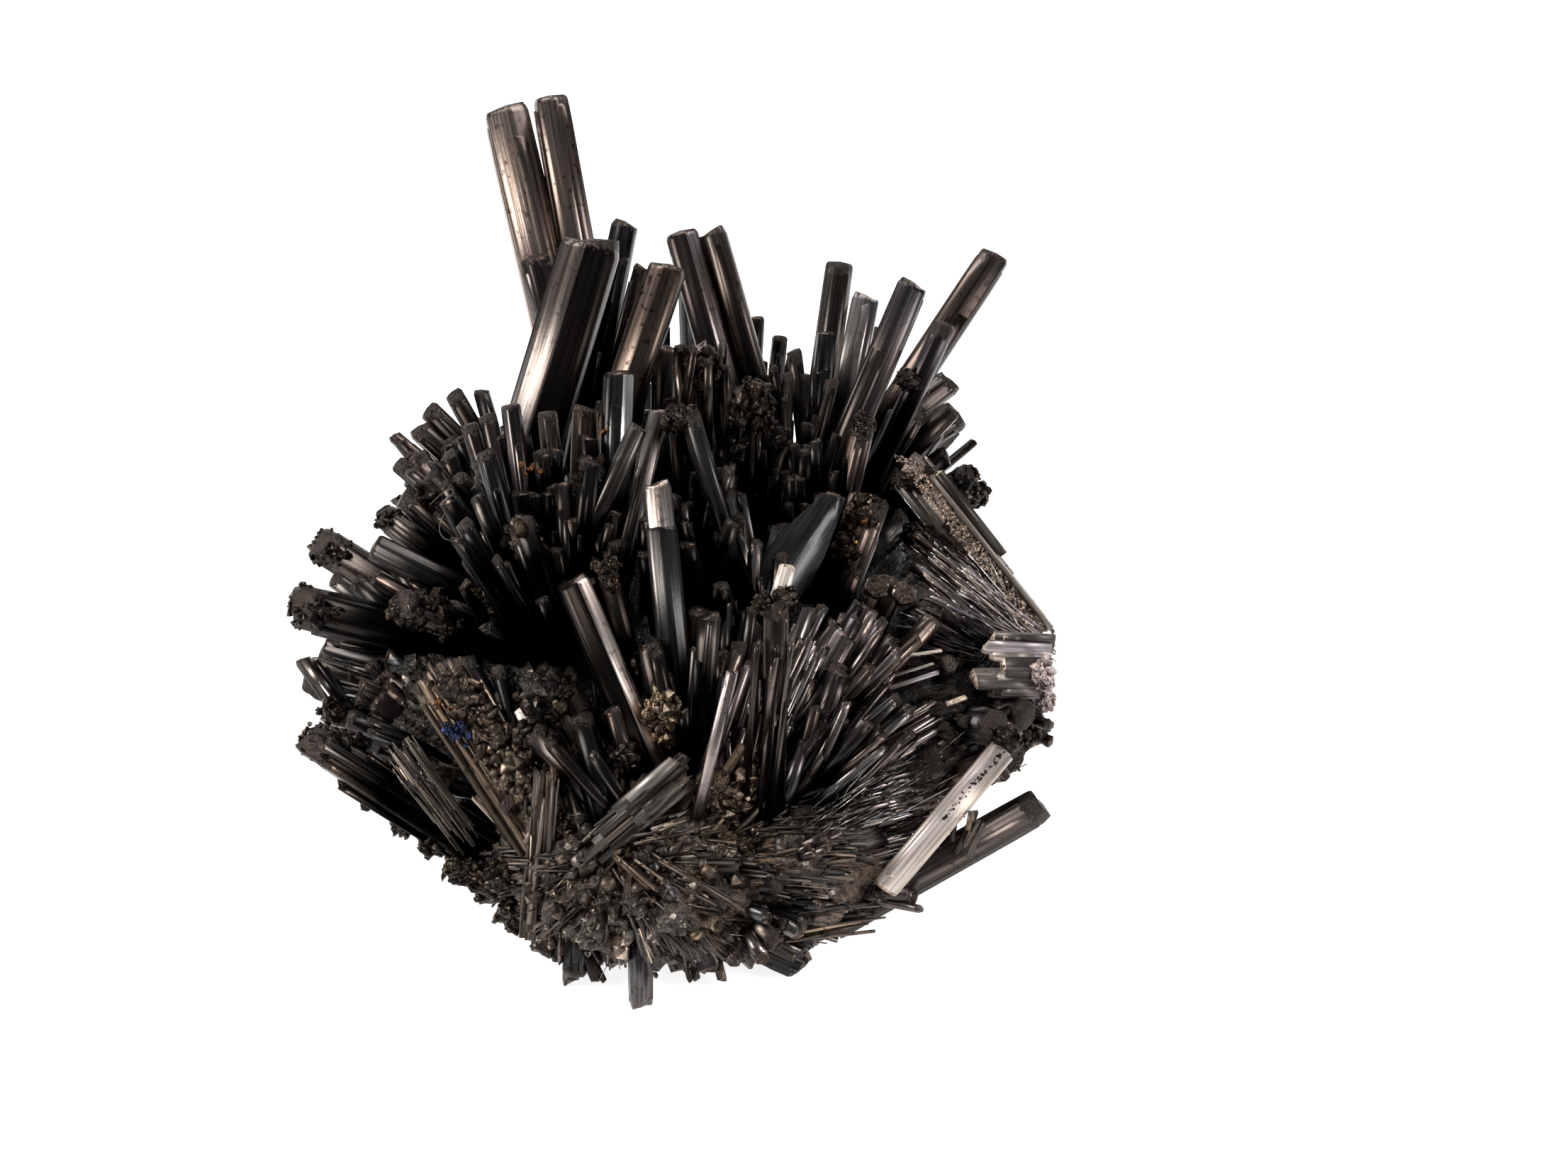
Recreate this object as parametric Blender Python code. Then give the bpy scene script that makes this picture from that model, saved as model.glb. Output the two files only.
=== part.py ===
"""Stibnite crystal spray: metallic, striated crystals that fan out of one broken root.

The root mass and the small crystals grown on it are one solid. Each large crystal, or group of
large crystals that overlap, is its own solid, seated in a socket of the root mass.
"""
import math
import random

import bmesh
import bpy
from mathutils import Matrix, Vector, noise

# Driving sizes in millimetres. Places are measured from the tip of the front foot:
# x to the right, y to the back, z up from the table.
MM = 0.001
SPRAY_MIDDLE = Vector((-0.1, 23.05, 0.0))
SEAT_GAP = 0.3
CAP_HEIGHT = 0.30
CAP_INSET = 0.24
LEDGE_PERIOD = 4.2
LEDGE_STEP = 0.09
FACING = Vector((0.0, -0.8, 0.6))
SPRAY_FOCUS = Vector((-1.0, 8.0, 1.0))
BRISTLE_SEED = 7
BRISTLE_REACH = 17.6

# Lumps of the root: middle, radii, icosphere subdivisions, number of bristles.
LUMPS = {
    "front_lump": ((-1.0, 9.0, 3.4), (8.5, 7.4, 4.8), 3, 32),
    "middle_lump": ((-1.0, 18.0, 6.0), (10.0, 7.6, 7.4), 3, 12),
    "back_lump": ((1.0, 26.5, 6.0), (13.0, 8.4, 7.4), 3, 22),
    "left_lump": ((-10.5, 17.5, 5.8), (7.0, 6.5, 5.0), 2, 16),
    "right_lump": ((10.0, 15.5, 6.0), (7.5, 5.5, 4.5), 2, 14),
    "right_corner_lump": ((16.7, 17.2, 7.7), (2.3, 3.2, 2.7), 2, 4),
    "front_right_lump": ((5.5, 7.5, 3.6), (5.0, 4.2, 3.6), 2, 12),
}

# Large crystals: tip, base, width, thickness. Rows under one name overlap and are one solid.
LARGE_CRYSTALS = {
    # The back row, which stands highest.
    "tall_twin_crystal": [
        ((-8.9, 43.8, 25.1), (-4.5, 32.5, 10.2), 2.4, 1.7),
        ((-6.8, 44.0, 25.6), (-3.7, 33.8, 12.2), 2.4, 1.6),
    ],
    "great_pillar_crystal": [((-4.1, 32.2, 24.8), (-9.7, 22.6, 9.1), 3.2, 2.2)],
    "brown_pillar_crystal": [((-0.3, 29.9, 24.5), (-6.0, 20.9, 10.0), 1.9, 1.6)],
    "twin_spear_crystal": [
        ((0.2, 33.7, 24.0), (4.1, 26.2, 12.3), 1.9, 1.4),
        ((1.7, 34.2, 23.8), (5.5, 26.9, 12.5), 1.8, 1.3),
    ],
    "capped_spear_crystal": [((8.4, 35.3, 21.0), (6.6, 27.6, 10.7), 1.6, 1.3)],
    "pale_blade_crystal": [((9.8, 35.9, 18.6), (8.2, 30.9, 12.2), 1.7, 0.7)],
    "striated_spear_crystal": [((12.1, 29.5, 23.7), (4.8, 21.3, 8.4), 1.8, 1.4)],
    "long_right_spear_crystal": [((16.5, 35.6, 21.3), (8.5, 28.4, 11.6), 1.8, 1.4)],
    # Stubs, the round knob and the slab on the right.
    "upper_right_stub_crystal": [((14.3, 34.1, 14.4), (8.5, 31.6, 10.7), 1.6, 1.3)],
    "middle_right_stub_crystal": [((14.7, 34.7, 11.8), (8.0, 32.3, 8.4), 1.9, 1.5)],
    "round_right_stub_crystal": [((15.6, 28.9, 11.9), (9.5, 26.8, 9.1), 2.1, 1.8)],
    "granular_knob_crystal": [((9.6, 24.6, 18.8), (7.4, 21.4, 9.4), 1.4, 1.3)],
    "right_slab_crystal": [((11.5, 24.6, 16.0), (18.2, 19.6, 8.7), 2.3, 1.4)],
    "cleavage_plate_crystal": [((8.2, 20.2, 17.2), (3.6, 16.8, 11.2), 3.0, 0.9)],
    "crusty_crystal": [((10.2, 21.4, 16.0), (7.4, 18.0, 9.4), 1.7, 1.3)],
    # The upper left fan.
    "upper_left_cluster": [
        ((-9.4, 22.5, 20.5), (-6.9, 16.6, 11.4), 1.0, 1.0),
        ((-10.3, 22.3, 20.0), (-7.0, 16.7, 11.1), 1.0, 0.9),
        ((-8.2, 22.6, 21.0), (-6.7, 16.7, 11.3), 1.1, 1.0),
        ((-9.4, 19.7, 20.3), (-6.8, 16.1, 11.2), 1.1, 1.1),
    ],
    "black_crystal": [
        ((-4.1, 19.8, 19.6), (-4.9, 15.8, 12.9), 1.3, 1.2),
        ((-1.7, 20.6, 21.1), (-5.0, 17.0, 14.8), 1.1, 1.0),
    ],
    "stained_pair_crystal": [
        ((-6.4, 23.4, 20.0), (-5.3, 17.8, 10.9), 1.1, 1.1),
        ((-4.5, 24.2, 19.8), (-5.0, 18.1, 10.8), 1.4, 1.2),
    ],
    "pale_faced_crystal": [((-2.8, 24.8, 21.5), (-3.2, 19.2, 12.0), 1.8, 1.3)],
    "striped_crystal": [((-0.7, 22.2, 21.0), (-3.2, 15.6, 12.3), 1.2, 1.1)],
    "leaning_capped_crystal": [((0.7, 21.3, 21.6), (3.5, 16.6, 13.5), 1.2, 1.1)],
    # Clean crystals that stand in the middle and at the front.
    "bright_middle_crystal": [((-0.8, 17.5, 20.0), (0.7, 9.1, 6.5), 1.5, 1.3)],
    "bright_front_crystal": [((-5.0, 13.4, 17.0), (0.0, 7.1, 6.8), 1.9, 1.6)],
    "brown_capped_crystal": [((-3.3, 15.0, 16.5), (-1.3, 11.6, 9.6), 1.1, 1.0)],
    "thick_broken_crystal": [((1.6, 25.8, 22.0), (1.5, 19.2, 12.9), 3.0, 2.1)],
    "near_knob_crystal": [((5.1, 7.9, 20.0), (4.9, 7.5, 6.7), 1.3, 1.1)],
    "double_knob_crystal": [((10.9, 17.1, 14.0), (8.0, 18.9, 4.6), 1.8, 1.6)],
    "bright_needle_crystal": [((3.0, 8.6, 15.0), (0.9, 5.3, 6.8), 0.7, 0.6)],
    "slanting_crystal": [((13.1, 16.8, 12.0), (3.2, 10.0, 3.0), 1.2, 1.1)],
    "striped_blade_crystal": [((8.7, 14.3, 13.0), (3.2, 8.6, 5.4), 1.6, 0.9)],
    # Low crystals on the right and at the front.
    "lower_right_crystal": [((18.5, 10.3, 5.3), (8.0, 5.9, 1.3), 2.5, 1.5)],
    "bright_diagonal_crystal": [((10.4, 5.0, 4.0), (16.3, 10.5, 8.4), 1.6, 1.2)],
    "fibrous_blade_crystal": [((10.4, 7.7, 6.0), (1.8, 5.5, 4.6), 3.1, 1.4)],
    "front_foot_crystal": [((-1.5, 0.0, 0.55), (-1.6, 3.6, 3.8), 1.1, 0.9)],
    # The left fan.
    "long_brown_blade_crystal": [((-11.9, 13.4, 11.5), (-4.1, 6.2, 2.2), 3.2, 1.5)],
    "lower_left_crystal": [((-18.5, 11.7, 8.5), (-9.1, 8.3, 4.0), 2.0, 1.5)],
    "left_broad_blade_crystal": [((-18.8, 17.7, 7.8), (-8.4, 15.6, 5.0), 2.4, 0.9)],
    "left_flat_blade_crystal": [((-17.9, 17.5, 9.5), (-9.0, 15.9, 7.6), 1.5, 0.9)],
    "upper_left_stub_crystal": [((-15.0, 24.2, 13.0), (-11.6, 22.5, 10.9), 1.5, 1.3)],
    "left_clean_crystal": [((-15.2, 19.4, 14.5), (-9.0, 18.1, 11.5), 1.6, 1.4)],
    "left_round_crystal": [((-18.3, 21.9, 13.0), (-9.0, 18.4, 8.3), 2.1, 1.4)],
    "far_left_crystal": [((-19.3, 17.6, 12.2), (-10.6, 16.4, 10.4), 2.5, 1.8)],
}

# Small crystals grown on the root mass, in the same form: tip, base, width, thickness.
SMALL_CRYSTALS = {
    "back_row": [
        ((-1.9, 35.8, 20.5), (-4.5, 29.8, 12.2), 0.8, 0.7),
        ((-2.7, 37.5, 22.1), (-5.5, 29.3, 11.0), 1.6, 1.3),
        ((4.1, 34.4, 18.2), (3.6, 30.2, 11.6), 0.9, 0.8),
        ((5.3, 33.8, 17.4), (4.6, 29.8, 11.6), 0.9, 0.7),
        ((6.0, 30.3, 19.0), (7.0, 25.5, 11.4), 0.9, 0.7),
        ((4.9, 29.4, 18.0), (4.7, 24.0, 10.8), 0.7, 0.6),
        ((5.7, 28.9, 18.5), (5.5, 23.5, 11.3), 0.7, 0.6),
        ((6.6, 29.5, 18.0), (6.2, 24.1, 10.8), 0.7, 0.7),
        ((7.7, 32.6, 18.5), (6.7, 26.6, 10.6), 1.1, 0.9),
        ((8.0, 29.4, 17.8), (5.7, 24.2, 10.9), 0.8, 0.7),
        ((3.7, 27.6, 19.0), (2.7, 22.2, 11.9), 2.0, 1.6),
        ((2.7, 24.2, 18.0), (1.8, 20.6, 10.9), 1.8, 1.4),
        ((12.2, 32.8, 16.0), (8.6, 28.5, 10.3), 1.5, 1.3),
        ((13.8, 30.6, 20.4), (9.0, 25.9, 11.2), 1.3, 1.1),
        ((-1.8, 30.0, 19.8), (-3.2, 25.0, 12.0), 1.4, 1.2),
        ((-0.3, 29.0, 20.2), (-0.7, 24.5, 12.0), 1.6, 1.3),
    ],
    "upper_left": [
        ((-11.7, 32.2, 15.0), (-7.3, 27.5, 8.8), 1.1, 1.0),
        ((-10.2, 31.7, 15.5), (-7.7, 26.5, 8.6), 1.0, 0.9),
        ((-13.6, 31.9, 13.0), (-7.2, 28.1, 7.9), 1.5, 1.1),
        ((-13.1, 32.8, 13.5), (-6.7, 29.0, 8.4), 1.3, 1.0),
        ((-14.0, 29.4, 13.0), (-7.7, 26.5, 9.1), 1.1, 1.0),
        ((-14.4, 27.3, 14.0), (-8.3, 24.2, 9.9), 1.1, 1.0),
        ((-12.8, 24.7, 15.0), (-8.2, 21.5, 10.8), 1.4, 1.2),
        ((-13.4, 26.8, 14.2), (-8.6, 23.4, 9.5), 1.6, 1.3),
        ((-14.1, 25.5, 13.3), (-8.9, 22.6, 9.0), 1.5, 1.2),
        ((-10.5, 16.9, 18.0), (-6.2, 13.2, 11.4), 1.0, 0.8),
        ((-9.8, 18.3, 18.5), (-6.6, 14.2, 11.7), 0.9, 0.8),
        ((-7.6, 17.2, 18.0), (-5.2, 13.4, 11.8), 1.4, 1.2),
        ((-5.5, 19.4, 18.5), (-5.2, 15.6, 12.6), 1.0, 0.9),
    ],
    "left": [
        ((-16.6, 21.5, 12.0), (-10.1, 18.6, 8.2), 1.1, 0.9),
        ((-17.2, 16.9, 11.7), (-9.2, 16.3, 10.4), 1.0, 0.9),
        ((-15.2, 18.9, 13.0), (-9.0, 17.0, 9.9), 1.1, 0.9),
        ((-13.9, 16.3, 13.5), (-7.6, 15.6, 10.6), 1.8, 1.4),
        ((-17.7, 14.2, 8.0), (-9.9, 13.0, 6.5), 1.3, 0.9),
        ((-16.4, 13.1, 8.5), (-9.3, 12.0, 6.0), 1.2, 0.9),
        ((-14.0, 10.5, 5.0), (-8.7, 9.5, 3.2), 1.1, 0.9),
        ((-12.2, 9.7, 4.5), (-6.8, 8.1, 2.4), 1.1, 0.9),
        ((-10.7, 8.8, 4.0), (-6.7, 7.0, 1.6), 1.1, 0.9),
        ((-8.7, 6.7, 2.5), (-5.0, 5.8, 1.3), 1.1, 0.9),
    ],
    "front": [
        ((-6.5, 3.5, 1.0), (-5.1, 5.7, 4.0), 1.3, 1.1),
        ((-4.8, 2.2, 0.7), (-4.8, 4.6, 3.8), 1.2, 1.0),
        ((-3.7, 2.0, 0.6), (-5.3, 4.2, 3.4), 0.7, 0.6),
        ((1.8, 2.4, 0.8), (0.6, 4.7, 3.7), 1.5, 1.3),
        ((6.9, 4.0, 1.0), (2.4, 5.2, 2.6), 1.4, 1.1),
        ((7.3, 5.1, 2.5), (2.3, 5.0, 2.4), 1.2, 1.0),
        ((-10.6, 13.0, 12.5), (-5.6, 8.4, 5.2), 1.4, 1.1),
        ((-8.7, 11.6, 13.0), (-6.2, 6.9, 5.0), 0.8, 0.6),
        ((-5.6, 10.3, 13.0), (-1.9, 7.2, 6.2), 2.1, 1.7),
        ((-7.0, 9.2, 11.0), (-1.5, 5.7, 6.3), 1.7, 1.3),
        ((-4.5, 9.1, 12.0), (-2.8, 5.0, 6.6), 1.3, 0.9),
        ((-1.3, 12.2, 14.0), (0.6, 8.6, 6.6), 1.7, 1.4),
    ],
    "middle": [
        ((3.4, 12.2, 14.0), (0.6, 6.9, 6.4), 0.8, 0.7),
        ((4.4, 12.8, 13.5), (1.8, 7.6, 6.2), 0.9, 0.7),
        ((5.2, 12.7, 12.5), (1.4, 8.4, 6.2), 0.8, 0.6),
        ((8.3, 12.1, 12.5), (5.8, 9.0, 5.2), 1.4, 1.2),
        ((6.8, 14.4, 14.5), (2.8, 8.1, 5.8), 0.8, 0.5),
        ((8.0, 11.5, 11.0), (4.3, 8.6, 6.2), 1.5, 0.7),
        ((1.9, 12.0, 16.0), (1.0, 8.3, 6.4), 1.3, 1.2),
        ((2.5, 20.8, 17.0), (4.2, 17.8, 11.6), 1.2, 1.1),
        ((2.9, 20.3, 16.0), (3.3, 17.1, 10.9), 1.8, 1.4),
        ((5.4, 20.2, 15.5), (4.0, 16.6, 10.8), 1.4, 1.1),
        ((5.4, 18.4, 15.0), (4.9, 15.7, 9.7), 1.0, 0.7),
    ],
    "right": [
        ((18.7, 16.6, 6.6), (14.5, 16.6, 6.8), 1.4, 1.2),
        ((17.4, 15.9, 6.0), (13.5, 16.8, 7.0), 1.4, 1.2),
        ((17.7, 12.6, 9.0), (15.2, 16.4, 7.0), 1.8, 1.5),
        ((16.1, 11.2, 9.3), (13.6, 15.6, 6.4), 2.2, 1.8),
        ((13.3, 13.2, 8.5), (7.5, 11.9, 6.4), 1.8, 1.1),
        ((14.6, 15.0, 9.4), (17.6, 16.6, 8.4), 1.1, 0.8),
        ((13.6, 14.2, 7.6), (16.8, 16.0, 7.0), 1.2, 0.9),
        ((12.0, 20.1, 13.2), (17.6, 17.6, 8.6), 1.3, 0.9),
        ((13.4, 17.4, 11.8), (17.4, 17.0, 9.0), 0.9, 0.7),
    ],
    "hidden_back": [
        ((-10.0, 41.0, 5.0), (-4.0, 31.0, 5.0), 1.8, 1.4),
        ((-3.5, 45.6, 6.0), (-1.0, 32.0, 5.0), 2.0, 1.5),
        ((3.0, 46.2, 8.5), (2.0, 32.0, 6.5), 1.7, 1.4),
        ((9.0, 43.5, 6.0), (6.0, 31.0, 6.0), 1.9, 1.5),
        ((14.5, 39.0, 8.0), (8.0, 30.0, 6.5), 1.6, 1.3),
        ((-14.5, 36.5, 4.0), (-8.0, 29.0, 5.0), 1.7, 1.3),
        ((-17.5, 28.5, 5.0), (-9.5, 24.5, 5.5), 1.6, 1.2),
        ((16.0, 31.0, 2.8), (10.0, 26.5, 4.5), 1.7, 1.3),
        ((0.5, 43.0, 15.5), (1.0, 31.5, 10.0), 1.5, 1.2),
        ((11.5, 40.0, 14.0), (7.0, 31.5, 9.5), 1.4, 1.2),
        ((18.0, 25.5, 5.0), (12.0, 22.5, 5.5), 1.6, 1.3),
        ((-7.5, 44.0, 2.4), (-3.0, 31.0, 3.5), 1.5, 1.2),
        ((6.5, 44.5, 2.0), (4.0, 31.0, 3.5), 1.5, 1.2),
        ((-17.5, 26.0, 4.5), (-9.5, 22.0, 5.0), 1.4, 1.1),
        ((16.5, 22.5, 4.5), (10.5, 20.0, 5.5), 1.4, 1.1),
    ],
}

# Base colour, roughness and metallic value of each finish.
FINISHES = {
    "rough_root": ((0.060, 0.048, 0.040), 0.60, 0.6),
    "steel_grey": ((0.110, 0.108, 0.110), 0.32, 1.0),
    "brown_tarnish": ((0.090, 0.068, 0.052), 0.45, 0.8),
    "bright_bronze": ((0.300, 0.250, 0.190), 0.30, 1.0),
}
BROWN_CRYSTALS = {
    "brown_pillar_crystal", "granular_knob_crystal", "crusty_crystal", "brown_capped_crystal",
    "thick_broken_crystal", "near_knob_crystal", "double_knob_crystal", "long_brown_blade_crystal",
    "right_slab_crystal", "fibrous_blade_crystal", "left_round_crystal",
}
BRONZE_CRYSTALS = {"tall_twin_crystal", "bright_needle_crystal", "bright_diagonal_crystal"}


def clear_scene():
    """Remove the objects that a new file starts with."""
    for leftover in list(bpy.data.objects):
        bpy.data.objects.remove(leftover, do_unlink=True)


def new_collection(name):
    """Make a collection in the scene."""
    collection = bpy.data.collections.new(name)
    bpy.context.scene.collection.children.link(collection)
    return collection


def new_finish(name):
    """Make the Principled material of one finish."""
    color, roughness, metallic = FINISHES[name]
    material = bpy.data.materials.new(name)
    material.use_nodes = True
    shader = material.node_tree.nodes["Principled BSDF"]
    shader.inputs["Base Color"].default_value = (*color, 1.0)
    shader.inputs["Roughness"].default_value = roughness
    shader.inputs["Metallic"].default_value = metallic
    material.diffuse_color = (*color, 1.0)
    return material


def place(point):
    """Turn a place in millimetres from the front foot into metres in the part's own frame."""
    return (Vector(point) - SPRAY_MIDDLE) * MM


def make_object(name, bm, collection):
    """Turn a bmesh into an object of the collection."""
    mesh = bpy.data.meshes.new(name)
    bm.to_mesh(mesh)
    bm.free()
    obj = bpy.data.objects.new(name, mesh)
    collection.objects.link(obj)
    return obj


def as_cutter(obj):
    """Hide a helper from renders and show it as a wire."""
    obj.hide_render = True
    obj.display_type = "WIRE"


def crystal_matrix(tip, base):
    """Frame with z along the crystal and its broad faces turned to the front of the spray."""
    along = (place(tip) - place(base)).normalized()
    across = along.cross(FACING).normalized()
    outward = along.cross(across)
    turn = Matrix((across, outward, along)).transposed().to_4x4()
    return Matrix.Translation(place(base)) @ turn


def add_prism(bm, matrix, start, end, width, thickness, sides=6):
    """Prism along the matrix's z axis, from start to end, in millimetres."""
    size = Matrix.Diagonal((width * MM, thickness * MM, (end - start) * MM, 1.0))
    middle = Matrix.Translation((0.0, 0.0, (start + end) / 2 * MM))
    made = bmesh.ops.create_cone(
        bm, cap_ends=True, segments=sides, radius1=0.5, radius2=0.5, depth=1.0,
        matrix=matrix @ middle @ size,
    )
    return made["verts"]


def crystal_object(name, row, collection):
    """A crystal: a six-sided prism whose end is a low blunt pyramid."""
    tip, base, width, thickness = row
    length = (Vector(tip) - Vector(base)).length
    cap = CAP_HEIGHT * width
    bm = bmesh.new()
    matrix = crystal_matrix(tip, base)
    verts = add_prism(bm, matrix, 0.0, length - cap, width, thickness)
    along = matrix.to_3x3() @ Vector((0.0, 0.0, 1.0))
    faces = {face for vert in verts for face in vert.link_faces}
    end_face = max(faces, key=lambda face: face.calc_center_median().dot(along))
    inset = CAP_INSET * thickness * MM
    bmesh.ops.inset_region(bm, faces=[end_face], thickness=inset, depth=0.0, use_even_offset=True)
    bmesh.ops.translate(bm, verts=list(end_face.verts), vec=along * cap * MM)
    return make_object(name, bm, collection)


def bristle_object(name, row, collection):
    """A short broken crystal: a plain four-sided prism."""
    tip, base, width, thickness = row
    bm = bmesh.new()
    add_prism(bm, crystal_matrix(tip, base), 0.0, (tip - base).length, width, thickness, sides=4)
    return make_object(name, bm, collection)


def socket_object(name, row, collection):
    """The room that a large crystal takes in the root mass, with the seat gap all round."""
    tip, base, width, thickness = row
    length = (Vector(tip) - Vector(base)).length
    bm = bmesh.new()
    add_prism(
        bm, crystal_matrix(tip, base), -SEAT_GAP, length + SEAT_GAP,
        width + 2.4 * SEAT_GAP, thickness + 2.4 * SEAT_GAP,
    )
    return make_object(name, bm, collection)


def lump_object(name, collection):
    """One rough lump of the root mass."""
    middle, radii, subdivisions, _ = LUMPS[name]
    bm = bmesh.new()
    bmesh.ops.create_icosphere(bm, subdivisions=subdivisions, radius=1.0)
    for vert in bm.verts:
        spot = Vector(middle) + Vector([a * b for a, b in zip(vert.co, radii)])
        swell = 1.0 + LEDGE_STEP * round(4.0 * noise.noise(spot / LEDGE_PERIOD))
        vert.co = place(Vector(middle) + (spot - Vector(middle)) * swell)
    return make_object(name, bm, collection)


def bristle_rows(name, rng):
    """Short broken crystals all over one lump, leaning away from the focus of the spray."""
    middle, radii, _, count = LUMPS[name]
    rows = []
    for _ in range(count):
        angle = rng.uniform(0.0, math.tau)
        height = rng.uniform(-0.45, 0.85)
        reach = math.sqrt(1.0 - height * height)
        out = Vector((reach * math.cos(angle), reach * math.sin(angle), height))
        skin = Vector(middle) + Vector([a * b for a, b in zip(out, radii)])
        away = (0.5 * out + (skin - SPRAY_FOCUS).normalized()).normalized()
        tip = skin + away * rng.uniform(0.8, 2.4)
        base = skin - away * 2.2
        if tip.z > 1.0 and abs(tip.x) < BRISTLE_REACH:
            rows.append((tip, base, rng.uniform(0.8, 1.8), rng.uniform(0.6, 1.0)))
    return rows


def below_table_object(collection):
    """A block whose top is the table, which cuts the root mass off flat."""
    bm = bmesh.new()
    depth = 20.0
    size = Matrix.Diagonal((80.0 * MM, 80.0 * MM, depth * MM, 1.0))
    bmesh.ops.create_cube(bm, size=1.0, matrix=Matrix.Translation((0, 0, -depth / 2 * MM)) @ size)
    return make_object("below_table", bm, collection)


def boolean(obj, operation, collection):
    """Union or difference of an object with every object of a collection."""
    modifier = obj.modifiers.new(operation.lower(), "BOOLEAN")
    modifier.operation = operation
    modifier.operand_type = "COLLECTION"
    modifier.collection = collection
    modifier.solver = "EXACT"


def bake_modifiers(obj):
    """Replace the object's mesh by its evaluated one."""
    graph = bpy.context.evaluated_depsgraph_get()
    mesh = bpy.data.meshes.new_from_object(obj.evaluated_get(graph))
    obj.modifiers.clear()
    obj.data = mesh


def keep_largest_body(obj):
    """Drop the splinters that the sockets cut loose from the root mass."""
    bm = bmesh.new()
    bm.from_mesh(obj.data)
    unseen = set(bm.verts)
    bodies = []
    while unseen:
        body = [unseen.pop()]
        for vert in body:
            linked = {edge.other_vert(vert) for edge in vert.link_edges} & unseen
            unseen -= linked
            body.extend(linked)
        bodies.append(body)
    bodies.sort(key=len)
    splinters = [vert for body in bodies[:-1] for vert in body]
    bmesh.ops.delete(bm, geom=splinters, context="VERTS")
    bm.to_mesh(obj.data)
    bm.free()


def build_root_mass(spray, grown, sockets):
    """Lumps and small crystals in one solid, cut flat below and opened for the large crystals."""
    first, *others = LUMPS
    root = lump_object(first, spray)
    root.name = "root_mass"
    for name in others:
        as_cutter(lump_object(name, grown))
    rng = random.Random(BRISTLE_SEED)
    for lump in LUMPS:
        for number, row in enumerate(bristle_rows(lump, rng)):
            as_cutter(bristle_object(f"{lump}_bristle_{number}", row, grown))
    for side, rows in SMALL_CRYSTALS.items():
        for number, row in enumerate(rows):
            as_cutter(crystal_object(f"{side}_{number}", row, grown))
    for name, rows in LARGE_CRYSTALS.items():
        for number, row in enumerate(rows):
            as_cutter(socket_object(f"{name}_socket_{number}", row, sockets))
    as_cutter(below_table_object(sockets))
    boolean(root, "UNION", grown)
    boolean(root, "DIFFERENCE", sockets)
    bake_modifiers(root)
    keep_largest_body(root)
    return root


def build_large_crystal(name, spray):
    """A large crystal, or the union of the overlapping crystals that share its name."""
    rows = LARGE_CRYSTALS[name]
    crystal = crystal_object(name, rows[0], spray)
    if len(rows) > 1:
        partners = new_collection(f"{name}_partners")
        for number, row in enumerate(rows[1:]):
            as_cutter(crystal_object(f"{name}_partner_{number}", row, partners))
        boolean(crystal, "UNION", partners)
    return crystal


def finish_of(name):
    """Name of the finish that a large crystal wears."""
    if name in BRONZE_CRYSTALS:
        return "bright_bronze"
    if name in BROWN_CRYSTALS:
        return "brown_tarnish"
    return "steel_grey"


clear_scene()
finishes = {name: new_finish(name) for name in FINISHES}
spray = new_collection("stibnite_crystal_spray")
grown = new_collection("grown_on_root")
sockets = new_collection("sockets")
root_mass = build_root_mass(spray, grown, sockets)
root_mass.data.materials.clear()
root_mass.data.materials.append(finishes["rough_root"])
for name in LARGE_CRYSTALS:
    large_crystal = build_large_crystal(name, spray)
    large_crystal.data.materials.append(finishes[finish_of(name)])
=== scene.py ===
"""Stibnite crystal spray, dressed for a close look: striated metallic crystals on a rough root."""
import math
import random
from collections import namedtuple

import bmesh
import bpy
import numpy as np
from mathutils import Matrix, Vector, kdtree, noise


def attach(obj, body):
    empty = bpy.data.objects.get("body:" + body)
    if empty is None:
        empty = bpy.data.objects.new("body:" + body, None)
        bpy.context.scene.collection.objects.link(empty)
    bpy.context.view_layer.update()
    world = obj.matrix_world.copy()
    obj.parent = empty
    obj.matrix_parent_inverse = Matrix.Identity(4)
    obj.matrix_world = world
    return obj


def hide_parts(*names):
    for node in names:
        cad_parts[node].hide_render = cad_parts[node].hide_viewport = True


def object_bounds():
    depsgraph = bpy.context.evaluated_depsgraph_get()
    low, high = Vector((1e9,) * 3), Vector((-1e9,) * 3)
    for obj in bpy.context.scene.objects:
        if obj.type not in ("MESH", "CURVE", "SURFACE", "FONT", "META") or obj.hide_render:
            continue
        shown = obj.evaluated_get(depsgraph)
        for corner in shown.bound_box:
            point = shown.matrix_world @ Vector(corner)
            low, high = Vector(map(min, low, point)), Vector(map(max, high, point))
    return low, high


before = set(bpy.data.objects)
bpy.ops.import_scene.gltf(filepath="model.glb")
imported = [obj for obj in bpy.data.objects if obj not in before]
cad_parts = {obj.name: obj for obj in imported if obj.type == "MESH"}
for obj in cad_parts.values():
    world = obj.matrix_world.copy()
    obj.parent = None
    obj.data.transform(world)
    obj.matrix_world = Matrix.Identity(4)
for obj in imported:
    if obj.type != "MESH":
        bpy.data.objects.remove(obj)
cad_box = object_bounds()

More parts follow.
